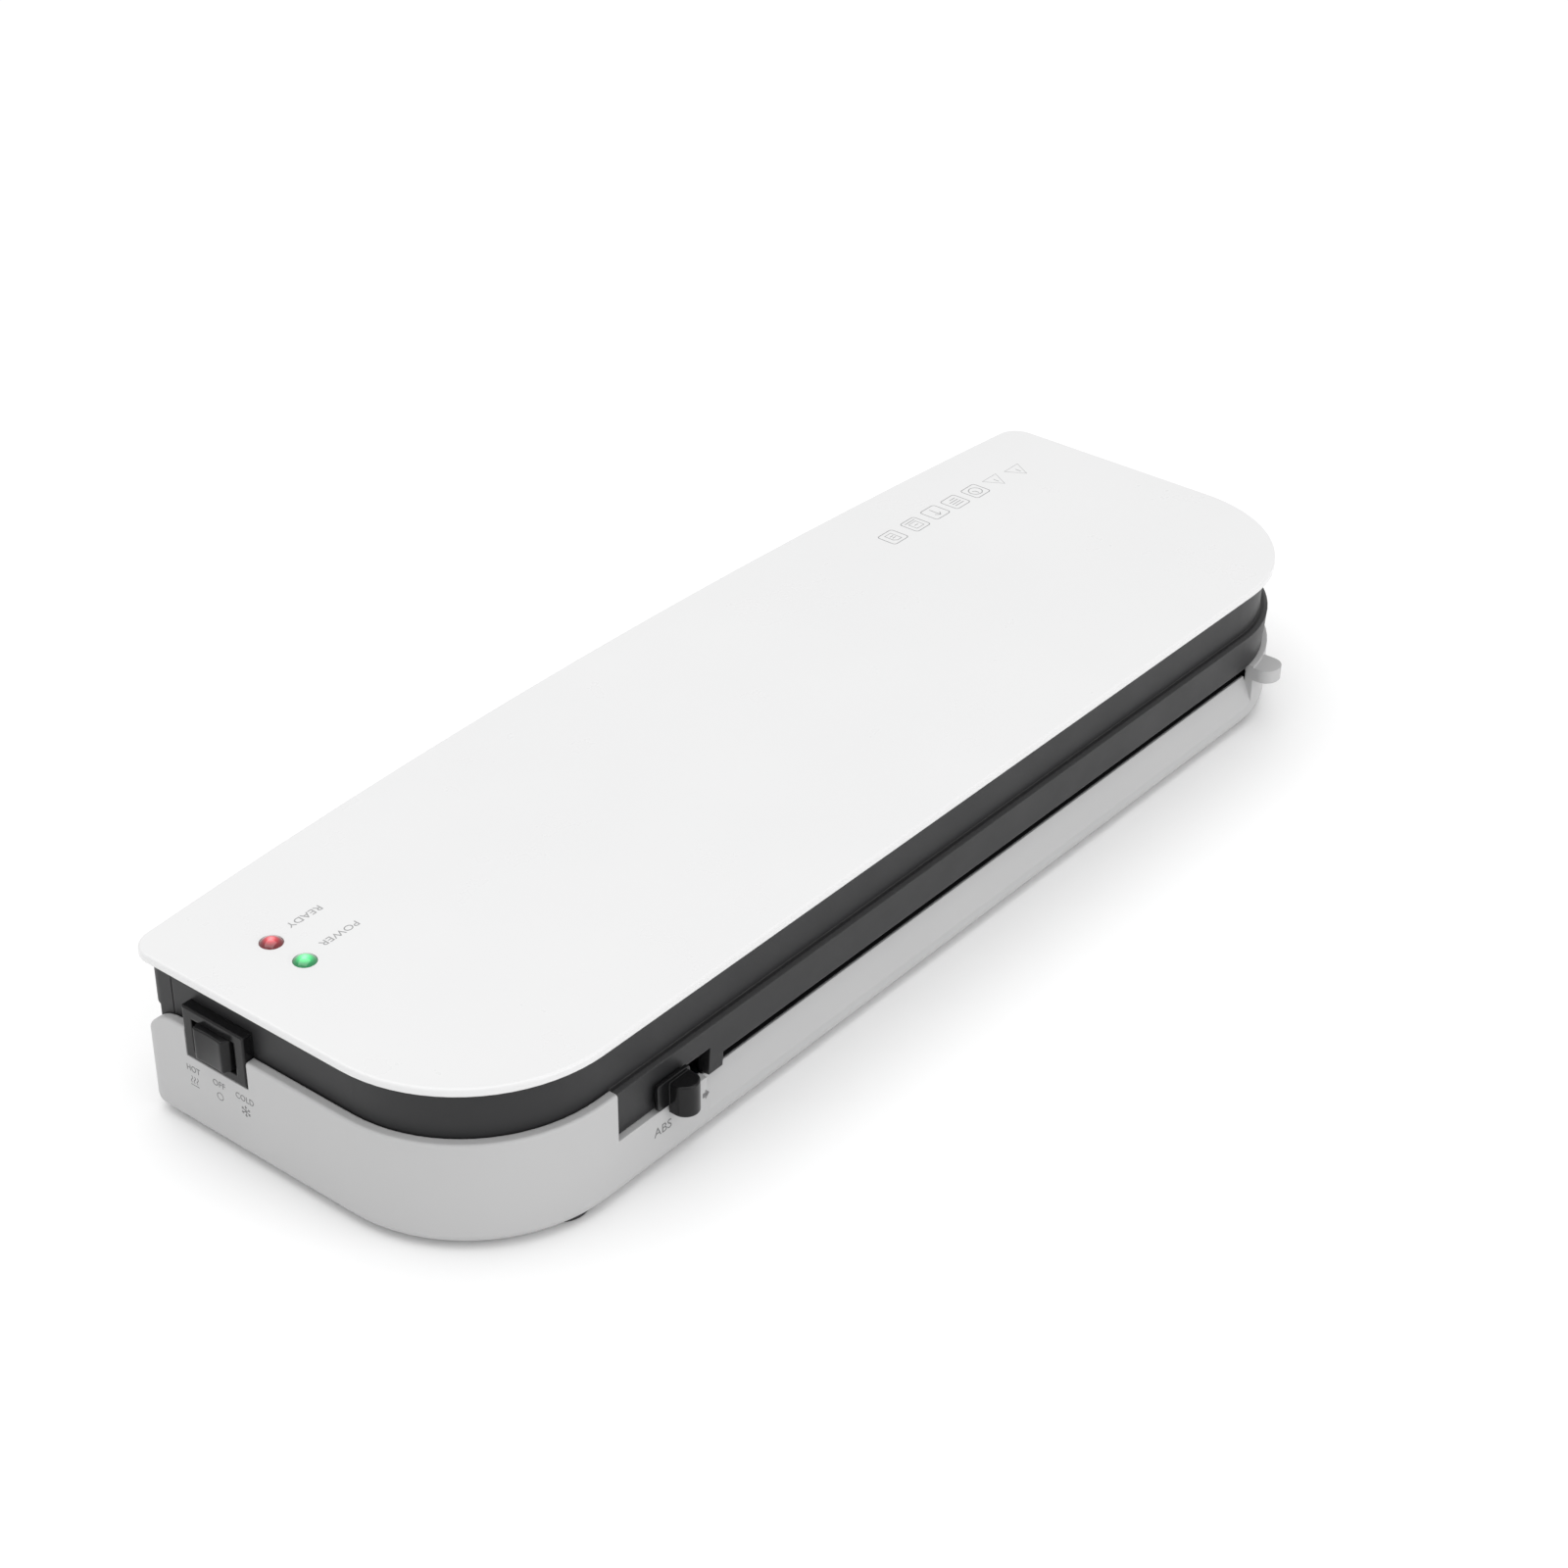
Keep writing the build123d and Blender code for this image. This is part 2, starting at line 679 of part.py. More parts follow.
def release_arm():
    """Plate behind the front wall, an arm round the side plate, and the wedge under the lift bar."""
    face_y = inner_front_y + slider_clearance
    left = slider_left_x - 1
    plate_right = left + slider_width + 4
    top = arm_z + arm_thickness
    plate = block(left, plate_right, face_y, face_y + 2, slider_bottom_z - 0.5, top)
    tip = wedge_tip_x()
    cross = block(plate_right - 4, tip, face_y, face_y + arm_width, arm_z, top)
    run = block(tip - arm_width - 2, tip - 1, face_y, bar_y - bar_size, arm_z, top)
    # the wedge rises to the left by nip_lift over the slider's travel
    ramp_left = tip - slider_travel
    with BuildSketch(Plane.XZ) as side:
        Polygon((ramp_left, arm_z), (tip, arm_z), (tip, top), (ramp_left, top + nip_lift), align=None)
    wedge_length = bar_size + 2
    wedge = extrude(Pos(0, bar_y - bar_size / 2 - 2, 0) * side.sketch, wedge_length, dir=(0, 1, 0))
    return plate + cross + run + wedge


def gear(teeth, x0, y, z, bore, first_tooth):
    """A spur gear along X; first_tooth is the direction of one tooth, in degrees from +Y to +Z."""
    pitch_radius = gear_module * teeth / 2
    root = pitch_radius - tooth_root * gear_module
    tip = pitch_radius + tooth_tip * gear_module
    flank = ((root, -0.29), (pitch_radius, -0.2), (tip, -0.1), (tip, 0.1), (pitch_radius, 0.2), (root, 0.29))
    step = 2 * pi / teeth
    outline_points = []
    for tooth in range(teeth):
        middle = radians(first_tooth) + tooth * step
        for radius, share in flank:
            angle = middle + share * step
            outline_points.append((radius * cos(angle), radius * sin(angle)))
    with BuildSketch(Plane.YZ) as profile:
        Polygon(*outline_points, align=None)
        Circle(bore, mode=Mode.SUBTRACT)
    return Pos(x0, y, z) * extrude(profile.sketch, gear_width, dir=(1, 0, 0))


def roller_gear(z, first_tooth):
    return gear(roller_teeth, gear_left_x, roller_y, z, shaft_radius, first_tooth)


def direction(y0, z0, y1, z1):
    """Angle of the line from one centre to another, in degrees from +Y to +Z."""
    flip = 180.0 if y1 < y0 else 0.0
    return flip + degrees(asin((z1 - z0) / ((y1 - y0) ** 2 + (z1 - z0) ** 2) ** 0.5)) * (-1 if flip else 1)


def train_phases():
    """First-tooth directions that put every pair of the train in mesh at rest."""
    lower = 90.0
    upper = -90.0 + 180.0 / roller_teeth
    to_idler = direction(roller_y, lower_roller_z, idler_y, idler_z)
    # turn of the lower gear's nearest tooth from the line of centres, carried over to the idler
    ahead = (to_idler - lower) * roller_teeth / 360.0 % 1.0
    idler = to_idler + 180.0 + (ahead + 0.5) * 360.0 / idler_teeth
    to_pinion = direction(idler_y, idler_z, pinion_y, pinion_z)
    ahead = (to_pinion - idler) * idler_teeth / 360.0 % 1.0
    pinion = to_pinion + 180.0 + (ahead + 0.5) * 360.0 / pinion_teeth
    return {"lower": lower, "upper": upper, "idler": idler, "pinion": pinion}


def idler_stud():
    """A shouldered stud riveted to the side plate, with a head that keeps the idler on."""
    outer = left_plate_x - plate_thickness
    stud = rod_x(stud_radius, gear_left_x - 0.4, outer, idler_y, idler_z)
    stud += rod_x(stud_radius + 1.5, gear_right_x + 0.3, outer, idler_y, idler_z)
    stud += rod_x(stud_radius + 1.2, gear_left_x - 1.4, gear_left_x - 0.4, idler_y, idler_z)
    return stud + rod_x(screw_radius, outer, left_plate_x, idler_y, idler_z)


def standoff_places():
    """(y, z) of the three spacers between the side plate and the motor bracket."""
    return [(plate_front_y + 4, 11.3), (roller_y - 16, 37.0), (roller_y + 13, 22.6)]


def motor_bracket():
    """The motor's steel plate with its three spacers."""
    plate = block(bracket_x - bracket_thickness, bracket_x, motor_y - 23.5, roller_y + 17, 7, plate_top_z)
    plate = fillet(plate.edges().filter_by(Axis.X), 2)
    plate -= rod_x(4.0, bracket_x - 5, bracket_x + 5, pinion_y, pinion_z)
    for side in (-1, 1):
        plate -= rod_x(screw_radius, bracket_x - 5, bracket_x + 5, motor_y + side * lug_reach, motor_z)
    outer = left_plate_x - plate_thickness
    for y, z in standoff_places():
        plate += rod_x(standoff_radius, bracket_x, outer, y, z)
    # the spacer under the motor is riveted, and the other two are bored for screws
    y, z = standoff_places()[0]
    plate += rod_x(screw_radius, outer, left_plate_x, y, z)
    for y, z in standoff_places()[1:]:
        plate -= rod_x(screw_radius, bracket_x - 5, outer + 1, y, z)
    return plate


def drive_motor():
    """A flat round synchronous gear motor with its shaft off centre."""
    face = bracket_x - bracket_thickness
    can = rod_x(motor_radius, face - motor_length, face, motor_y, motor_z)
    can = fillet(can.edges().filter_by(GeomType.CIRCLE).sort_by(Axis.X)[0], 1.5)
    can += rod_x(motor_radius + 0.6, face - 2 - motor_length / 2, face - motor_length / 2, motor_y, motor_z)
    for side in (-1, 1):
        y0, y1 = sorted((motor_y + side * 14, motor_y + side * 23))
        can += block(face - 1, face, y0, y1, motor_z - 3.5, motor_z + 3.5)
        can -= rod_x(screw_radius, face - 2, face + 1, motor_y + side * lug_reach, motor_z)
    can += rod_x(3.8, face, bracket_x - 0.2, pinion_y, pinion_z)
    can += block(face - motor_length + 3, face - motor_length + 11, motor_y + 10, motor_y + 21.5, 13, 20)
    return can - rod_x(motor_shaft_radius + running_clearance, face - 12, face + 5, pinion_y, pinion_z)


def motor_pinion():
    """The motor's output shaft and its pinion."""
    pinion = gear(pinion_teeth, gear_left_x, pinion_y, pinion_z, motor_shaft_radius, train_phases()["pinion"])
    shaft = rod_x(motor_shaft_radius, bracket_x - bracket_thickness - 10, gear_right_x, pinion_y, pinion_z)
    return pinion + shaft


def motor_screws():
    face = bracket_x - bracket_thickness - 1
    screws = [screw_x(-1, face, motor_y + side * lug_reach, motor_z, 2.2) for side in (-1, 1)]
    reach = bracket_from_plate + bracket_thickness + plate_thickness
    for y, z in standoff_places()[1:]:
        screws.append(screw_x(-1, bracket_x - bracket_thickness, y, z, reach))
    return group(screws)


def heater_plate(low):
    """An aluminium hot plate between the side plates, its long edges rounded for the pouch."""
    plate = block(left_plate_x, right_plate_x, heater_front_y, heater_back_y, low, low + heater_thickness)
    return fillet(plate.edges().filter_by(Axis.X), 1.2)


def heater_film(low):
    front, back = heater_front_y + 4, heater_back_y - 4
    return block(sleeve_left_x + 6, sleeve_right_x - 6, front, back, low, low + film_thickness)


def thermal_cutout():
    """A disc cut-out on the upper film with two blades."""
    z = heater_top_z + heater_thickness + film_thickness
    y = (heater_front_y + heater_back_y) / 2
    x = slot_mid_x + 20
    body = rod_z_axis(5.0, x, y, z, z + 4)
    for side in (-1, 1):
        blade_y = y + side * 4.5
        body += block(x - 3, x + 3, blade_y - 1.5, blade_y + 1.5, z + 3, z + 3.8)
    return body


def guide(front, back, x0, x1):
    """A thin sloping plate under the point pair (y, z), stiffened by ribs on its far side."""
    (y0, z0), (y1, z1) = front, back
    return prism_x([(y0, z0), (y1, z1), (y1, z1 + guide_thickness), (y0, z0 + guide_thickness)], x0, x1)


def feed_guide_lower():
    start = (lip_back_y, slot_lip_z - guide_thickness)
    end = (heater_front_y, heater_low_z - guide_thickness)
    plate = guide(start, end, slot_left_x, slot_right_x)
    for x in rib_places():
        plate += prism_x([start, end, (end[0], floor_z), (start[0], floor_z)], x - rib_width / 2, x + rib_width / 2)
    return plate


def feed_guide_upper():
    start = (inner_front_y + 0.1, slot_top_z + 0.3)
    end = (heater_front_y, heater_top_z)
    plate = guide(start, end, slot_left_x, slot_right_x)
    top = (end[0], end[1] + guide_thickness)
    for x in rib_places():
        ribs = [(start[0], start[1] + guide_thickness), top, (top[0], top[1] + 3), (start[0], start[1] + 6)]
        plate += prism_x(ribs, x - rib_width / 2, x + rib_width / 2)
    return plate


def rib_places():
    pitch = (slot_right_x - slot_left_x - 2 * rib_margin) / (rib_count - 1)
    return [slot_left_x + rib_margin + pitch * step for step in range(rib_count)]


def exit_start_y():
    return roller_y + roller_radius + 3.0


def exit_end_y():
    return min(back_face(slot_left_x, inner_inset)[0], back_face(slot_right_x, inner_inset)[0]) - 0.4


def exit_guide_lower():
    top = low_wall_z + 1.0
    plate = block(slot_left_x, slot_right_x, exit_start_y(), exit_end_y(), top - guide_thickness, top)
    for x in rib_places():
        left, right = x - rib_width / 2, x + rib_width / 2
        plate += block(left, right, exit_start_y() + 8, exit_end_y(), floor_z, top - guide_thickness)
    return plate


def exit_guide_upper():
    low = exit_top_z - 0.2
    plate = block(slot_left_x, slot_right_x, exit_start_y(), exit_end_y(), low, low + guide_thickness)
    for x in rib_places():
        left, right = x - rib_width / 2, x + rib_width / 2
        plate += block(left, right, exit_start_y() + 12, exit_end_y(), low + guide_thickness, ceiling_z)
    return plate


def switch_block(x0, x1, width, height):
    """A box centred on the switch, seen from the left end as width by height."""
    y0, z0 = switch_y - width / 2, switch_z - height / 2
    return block(x0, x1, y0, y0 + width, z0, z0 + height)


def switch_body():
    bezel = switch_block(bezel_x, wall_x, bezel_width, bezel_height)
    bezel = fillet(bezel.edges().group_by(Axis.X)[0], 0.5)
    body = bezel + switch_block(wall_x, wall_x + switch_depth, switch_width, switch_height)
    body -= switch_block(bezel_x - 1, pivot_x + 6, well_width, well_height)
    stub = well_height / 2 + rocker_pin_reach + 0.1
    return body - rod_z_axis(rocker_pin + running_clearance, pivot_x, switch_y, switch_z - stub, switch_z + stub)


def switch_rocker():
    """The paddle at its middle position, its face a little hollow, on an upright pivot."""
    height = well_height - 2 * rocker_clearance
    half = [(-rocker_crest, rocker_half), (-6.4, rocker_half + 1.0), (-3.0, rocker_half + 1.8), (2.5, 5.0), (4.0, 1.5)]
    other_half = [(x, -y) for x, y in reversed(half)]
    with BuildSketch() as plan:
        Polygon(*half, *other_half, (-rocker_valley, 0), align=None)
    paddle = Pos(0, 0, -height / 2) * extrude(plan.sketch, height, dir=(0, 0, 1))
    paddle = fillet(paddle.edges().filter_by(Axis.Z).group_by(Axis.X)[0], 0.4)
    stub = well_height / 2 + rocker_pin_reach
    paddle += rod_z_axis(rocker_pin, 0, 0, -stub, stub)
    return Pos(pivot_x, switch_y, switch_z) * paddle


def switch_terminals():
    back = wall_x + switch_depth
    low, high = switch_z - 2.4, switch_z + 2.4
    return group(block(back, back + 8, switch_y + y - 0.4, switch_y + y + 0.4, low, high) for y in (-6, 0, 6))


def board_z():
    return floor_z + 4.2


def board_limits():
    left = -half_length + 16
    return left, left + 27, front_y + 24, front_y + 66


def board_posts():
    x0, x1, y0, y1 = board_limits()
    return [(x, y) for x in (x0 + 4, x1 - 4) for y in (y0 + 4, y1 - 4)]


def control_board():
    x0, x1, y0, y1 = board_limits()
    return block(x0, x1, y0, y1, board_z(), board_z() + board_thickness)


def board_parts():
    """Mains capacitor, relay, electrolytic, connector and small chips."""
    x0, x1, y0, y1 = board_limits()
    z = board_z() + board_thickness
    parts = [
        block(x0 + 8, x0 + 22, y0 + 3, y0 + 10, z, z + 12),
        block(x0 + 3, x0 + 12, y0 + 13, y0 + 28, z, z + 8),
        rod_z_axis(4.0, x0 + 20, y0 + 18, z, z + 11),
        block(x0 + 8, x0 + 22, y1 - 8, y1 - 2, z, z + 9),
        block(x0 + 15, x0 + 23, y0 + 25, y0 + 30, z, z + 1.6),
    ]
    return group(parts)


def led_board():
    z = ceiling_z - led_board_drop
    y0 = ready_y - lamp_pitch - 6
    return block(lamp_x - 6, lamp_x + 6, y0, ready_y + 6, z - 1.2, z)


def cord_bushing():
    """Round bushing for the mains cord, square to the bowed back wall."""
    x = -half_length + bushing_from_left
    y, turn = back_face(x, wall_inset)
    flange = Pos(0, 0, -3 - wall / 2) * Cylinder(bushing_radius + 1.5, 2)
    body = Cylinder(bushing_radius, wall + 4) + flange
    body -= Cylinder(bushing_bore, 20)
    seat = Pos(0, 0, wall / 2 + 0.05)
    return Pos(x, y, bushing_z) * Rot(90, 0, -turn) * seat * body


def housing_screws():
    screws = []
    for x, y in posts:
        seat = base_z + 4
        head = rod_z_axis(screw_head_radius, x, y, seat - screw_head, seat)
        screws.append(head + rod_z_axis(screw_radius, x, y, seat, post_joint_z + 8))
    return group(screws)


phases = train_phases()
left_clip_x = gear_right_x + 0.2
right_clip_x = right_plate_x + plate_thickness + 0.4
lift_clearance = 0.6  # of the bearing blocks' outer faces
idler_bore = stud_radius + running_clearance
parts = {
    "base_tray": base_tray(),
    "upper_housing": upper_housing(),
    "rear_fascia": rear_fascia(),
    "top_cover": top_cover(),
    "side_plate_left": side_plate(-1),
    "side_plate_right": side_plate(1),
    "tie_rod_front": tie_rod(rod_places()[0]),
    "tie_rod_rear": tie_rod(rod_places()[1]),
    "frame_screws": frame_screws(),
    "lower_roller_shaft": roller_shaft(lower_roller_z, shaft_left_x),
    "lower_roller_sleeve": sleeve(lower_roller_z),
    "lower_roller_gear": roller_gear(lower_roller_z, phases["lower"]),
    "lower_shaft_clips": shaft_clips(lower_roller_z, left_clip_x, right_clip_x),
    "lower_bushes": lower_bushes(),
    "upper_roller_shaft": roller_shaft(upper_roller_z, shaft_left_x),
    "upper_roller_sleeve": sleeve(upper_roller_z),
    "upper_roller_gear": roller_gear(upper_roller_z, phases["upper"]),
    "upper_shaft_clips": shaft_clips(upper_roller_z, left_clip_x, right_clip_x + lift_clearance),
    "bearing_block_left": bearing_block(-1),
    "bearing_block_right": bearing_block(1),
    "lift_bar": lift_bar(),
    "pressure_spring_left": pressure_spring(-1),
    "pressure_spring_right": pressure_spring(1),
    "spring_bracket_left": spring_bracket(-1),
    "spring_bracket_right": spring_bracket(1),
    "slider_knob": slider_knob(),
    "release_arm": release_arm(),
    "idler_gear": gear(idler_teeth, gear_left_x, idler_y, idler_z, idler_bore, phases["idler"]),
    "idler_stud": idler_stud(),
    "motor_bracket": motor_bracket(),
    "drive_motor": drive_motor(),
    "motor_pinion": motor_pinion(),
    "motor_screws": motor_screws(),
    "heater_plate_upper": heater_plate(heater_top_z),
    "heater_plate_lower": heater_plate(heater_low_z - heater_thickness),
    "heater_film_upper": heater_film(heater_top_z + heater_thickness),
    "heater_film_lower": heater_film(heater_low_z - heater_thickness - film_thickness),
    "thermal_cutout": thermal_cutout(),
    "feed_guide_lower": feed_guide_lower(),
    "feed_guide_upper": feed_guide_upper(),
    "exit_guide_lower": exit_guide_lower(),
    "exit_guide_upper": exit_guide_upper(),
    "switch_body": switch_body(),
    "switch_rocker": switch_rocker(),
    "switch_terminals": switch_terminals(),
    "control_board": control_board(),
    "board_parts": board_parts(),
    "led_board": led_board(),
    "cord_bushing": cord_bushing(),
    "housing_screws": housing_screws(),
}
for name, y in lamp_places.items():
    parts[name] = lamp(y)
for name, (x, y) in feet.items():
    parts[name] = Pos(x, y, 0) * foot()

# the origin is put on the resting surface, under the middle of the whole object's box
low_x = min(part.bounding_box().min.X for part in parts.values())
high_x = max(part.bounding_box().max.X for part in parts.values())
low_y = min(part.bounding_box().min.Y for part in parts.values())
high_y = max(part.bounding_box().max.Y for part in parts.values())
origin_x = round((low_x + high_x) / 2, 2)
origin_y = round((low_y + high_y) / 2, 2)
print("origin", origin_x, origin_y)

os.makedirs("parts", exist_ok=True)
for name, part in parts.items():
    export_step(Pos(-origin_x, -origin_y, 0) * part, "parts/" + name + ".step")
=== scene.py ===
import bpy
import json
import math
from mathutils import Matrix, Vector


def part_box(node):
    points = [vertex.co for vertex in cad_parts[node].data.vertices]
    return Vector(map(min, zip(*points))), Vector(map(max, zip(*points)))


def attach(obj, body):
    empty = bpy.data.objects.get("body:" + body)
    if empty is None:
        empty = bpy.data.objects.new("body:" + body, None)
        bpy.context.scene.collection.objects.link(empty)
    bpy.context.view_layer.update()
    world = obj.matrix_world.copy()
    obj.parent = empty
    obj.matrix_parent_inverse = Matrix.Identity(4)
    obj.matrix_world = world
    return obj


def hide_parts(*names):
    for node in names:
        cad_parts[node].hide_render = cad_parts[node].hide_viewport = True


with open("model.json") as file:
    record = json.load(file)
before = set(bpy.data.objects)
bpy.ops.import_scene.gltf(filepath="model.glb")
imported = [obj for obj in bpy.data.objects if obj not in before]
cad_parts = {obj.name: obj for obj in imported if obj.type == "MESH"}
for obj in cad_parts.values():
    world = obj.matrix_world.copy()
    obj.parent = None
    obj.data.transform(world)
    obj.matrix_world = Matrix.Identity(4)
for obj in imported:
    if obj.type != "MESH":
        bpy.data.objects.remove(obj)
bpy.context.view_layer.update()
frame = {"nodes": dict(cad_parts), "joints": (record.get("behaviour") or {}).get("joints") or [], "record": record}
nodes = frame["nodes"]
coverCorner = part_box("top_cover")[0]
jointPlace = {joint["name"]: Vector(joint["pos_m"]) for joint in frame["joints"] if joint.get("pos_m")}
mm = 0.001
print("frame loaded:", len(nodes), "nodes")


# small helpers for working by hand

def clearAll():
    if bpy.context.object and bpy.context.object.mode != "OBJECT":
        bpy.ops.object.mode_set(mode="OBJECT")
    bpy.ops.object.select_all(action="DESELECT")


def pick(*things):
    clearAll()
    for thing in things:
        thing.select_set(True)
    bpy.context.view_layer.objects.active = things[0]


def settle(thing, name):
    # the finished piece sits at the origin with its place in its mesh
    pick(thing)
    bpy.ops.object.transform_apply(location=True, rotation=True, scale=True)
    thing.name = name
    thing.data.name = name
    return thing


def applyModifier(thing, kind, **settings):
    pick(thing)
    bpy.ops.object.modifier_add(type=kind)
    modifier = thing.modifiers[-1]
    for key, value in settings.items():
        setattr(modifier, key, value)
    bpy.ops.object.modifier_apply(modifier=modifier.name)


def editOn(thing, what="FACE"):
    pick(thing)
    bpy.ops.object.mode_set(mode="EDIT")
    bpy.ops.mesh.select_mode(type=what)
    bpy.ops.mesh.select_all(action="DESELECT")
    bpy.ops.object.mode_set(mode="OBJECT")


def selectWhere(thing, test, what="FACE"):
    # faces, edges or points whose middle passes the test are selected, and edit mode is left on
    editOn(thing, what)
    mesh = thing.data
    if what == "FACE":
        for face in mesh.polygons:
            face.select = test(face.center, face.normal)
    elif what == "EDGE":
        for edge in mesh.edges:
            first, second = (mesh.vertices[index].co for index in edge.vertices)
            edge.select = test((first + second) / 2, second - first)
    else:
        for point in mesh.vertices:
            point.select = test(point.co, point.normal)
    bpy.ops.object.mode_set(mode="EDIT")


def coat(thing, finish, body):
    thing.data.materials.clear()
    thing.data.materials.append(finish)
    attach(thing, body)


# effects that several finishes share

def startGroup(name, inputs, outputs):
    group = bpy.data.node_groups.new(name, "ShaderNodeTree")
    for label, value in inputs:
        socket = group.interface.new_socket(name=label, in_out="INPUT", socket_type="NodeSocketFloat")
        socket.default_value = value
    for label, kind in outputs:
        group.interface.new_socket(name=label, in_out="OUTPUT", socket_type=kind)
    return group, group.nodes.new("NodeGroupInput"), group.nodes.new("NodeGroupOutput")


def mathNode(tree, operation, first, second=None):
    node = tree.nodes.new("ShaderNodeMath")
    node.operation = operation
    for index, value in enumerate((first, second)):
        if value is None:
            continue
        if isinstance(value, (int, float)):
            node.inputs[index].default_value = value
        else:
            tree.links.new(value, node.inputs[index])
    return node.outputs[0]


def noiseNode(tree, coords, scale, detail, roughness=0.5):
    node = tree.nodes.new("ShaderNodeTexNoise")
    node.inputs["Detail"].default_value = detail
    node.inputs["Roughness"].default_value = roughness
    tree.links.new(coords, node.inputs["Vector"])
    if isinstance(scale, (int, float)):
        node.inputs["Scale"].default_value = scale
    else:
        tree.links.new(scale, node.inputs["Scale"])
    return node.outputs[0]


mouldSet = {
    "pebbleScale": 0.45, "fineDetail": 2.0, "fineBreak": 0.6,
    "fine": 0.6, "pebble": 0.5, "driftDetail": 3.0,
}


def buildMouldGrain():
    # spark-eroded mould texture, and a slow drift of tone across the moulding
    group, entry, leave = startGroup(
        "mouldGrain",
        [("Grains per metre", 2600.0), ("Drift per metre", 14.0)],
        [("Height", "NodeSocketFloat"), ("Tone", "NodeSocketFloat")],
    )
    coords = group.nodes.new("ShaderNodeTexCoord").outputs["Object"]
    grains = entry.outputs["Grains per metre"]
    fine = noiseNode(group, coords, grains, mouldSet["fineDetail"], mouldSet["fineBreak"])
    pebbles = group.nodes.new("ShaderNodeTexVoronoi")
    pebbles.feature = "SMOOTH_F1"
    group.links.new(coords, pebbles.inputs["Vector"])
    group.links.new(mathNode(group, "MULTIPLY", grains, mouldSet["pebbleScale"]), pebbles.inputs["Scale"])
    fineShare = mathNode(group, "MULTIPLY", fine, mouldSet["fine"])
    pebbleShare = mathNode(group, "MULTIPLY", pebbles.outputs[0], mouldSet["pebble"])
    group.links.new(mathNode(group, "ADD", fineShare, pebbleShare), leave.inputs["Height"])
    drift = noiseNode(group, coords, entry.outputs["Drift per metre"], mouldSet["driftDetail"])
    group.links.new(drift, leave.inputs["Tone"])
    return group


def buildSoftCorner():
    # rounds a hard corner in the normal only
    group, entry, leave = startGroup("softCorner", [("Radius", 0.0003)], [("Normal", "NodeSocketVector")])
    bevel = group.nodes.new("ShaderNodeBevel")
    bevel.samples = 6
    group.links.new(entry.outputs["Radius"], bevel.inputs["Radius"])
    group.links.new(bevel.outputs["Normal"], leave.inputs["Normal"])
    return group


edgeWearAndHighlightSet = {"patches": 160.0, "detail": 4.0, "break": 0.65}


def buildEdgeWearAndHighlight():
    # a mask that is high on corners, broken up along their length; the lighter colour laid there is partly wear
    # and partly a painted highlight
    group, entry, leave = startGroup(
        "edgeWearAndHighlight", [("Radius", 0.0006), ("Strength", 1.0)], [("Mask", "NodeSocketFloat")]
    )
    bevel = group.nodes.new("ShaderNodeBevel")
    bevel.samples = 4
    group.links.new(entry.outputs["Radius"], bevel.inputs["Radius"])
    surface = group.nodes.new("ShaderNodeNewGeometry")
    compare = group.nodes.new("ShaderNodeVectorMath")
    compare.operation = "DOT_PRODUCT"
    group.links.new(bevel.outputs["Normal"], compare.inputs[0])
    group.links.new(surface.outputs["Normal"], compare.inputs[1])
    turned = mathNode(group, "SUBTRACT", 1.0, compare.outputs["Value"])
    coords = group.nodes.new("ShaderNodeTexCoord").outputs["Object"]
    patches = noiseNode(group, coords, edgeWearAndHighlightSet["patches"], edgeWearAndHighlightSet["detail"], edgeWearAndHighlightSet["break"])
    broken = mathNode(group, "MULTIPLY", turned, patches)
    patchy = mathNode(group, "MULTIPLY", broken, entry.outputs["Strength"])
    limited = group.nodes.new("ShaderNodeClamp")
    group.links.new(patchy, limited.inputs["Value"])
    group.links.new(limited.outputs[0], leave.inputs["Mask"])
    return group


touchSet = {"detail": 5.0, "break": 0.6, "low": 0.3, "high": 0.7}


def buildHandling():
    # roughness that wanders between two values, as on a surface that is wiped and touched
    group, entry, leave = startGroup(
        "handling",
        [("Smooth", 0.3), ("Dull", 0.45), ("Patches per metre", 38.0)],
        [("Roughness", "NodeSocketFloat")],
    )
    coords = group.nodes.new("ShaderNodeTexCoord").outputs["Object"]
    count = entry.outputs["Patches per metre"]
    patches = noiseNode(group, coords, count, touchSet["detail"], touchSet["break"])
    spread = group.nodes.new("ShaderNodeMapRange")
    spread.inputs["From Min"].default_value = touchSet["low"]
    spread.inputs["From Max"].default_value = touchSet["high"]
    group.links.new(patches, spread.inputs["Value"])
    group.links.new(entry.outputs["Smooth"], spread.inputs["To Min"])
    group.links.new(entry.outputs["Dull"], spread.inputs["To Max"])
    group.links.new(spread.outputs[0], leave.inputs["Roughness"])
    return group


dustSet = {"fall": 4.0, "specks": 520.0, "detail": 4.0, "break": 0.7, "colour": (0.55, 0.53, 0.5)}


def buildDust():
    # a faint film of dust on what faces up
    group, entry, leave = startGroup("dust", [("Amount", 0.05)], [("Mask", "NodeSocketFloat")])
    surface = group.nodes.new("ShaderNodeNewGeometry")
    split = group.nodes.new("ShaderNodeSeparateXYZ")
    group.links.new(surface.outputs["Normal"], split.inputs[0])
    upward = mathNode(group, "POWER", mathNode(group, "MAXIMUM", split.outputs["Z"], 0.0), dustSet["fall"])
    coords = group.nodes.new("ShaderNodeTexCoord").outputs["Object"]
    specks = noiseNode(group, coords, dustSet["specks"], dustSet["detail"], dustSet["break"])
    film = mathNode(group, "MULTIPLY", upward, specks)
    group.links.new(mathNode(group, "MULTIPLY", film, entry.outputs["Amount"]), leave.inputs["Mask"])
    return group


brushSet = {"stretch": 0.02, "detail": 3.0, "break": 0.7, "drift": 60.0, "driftDetail": 4.0}


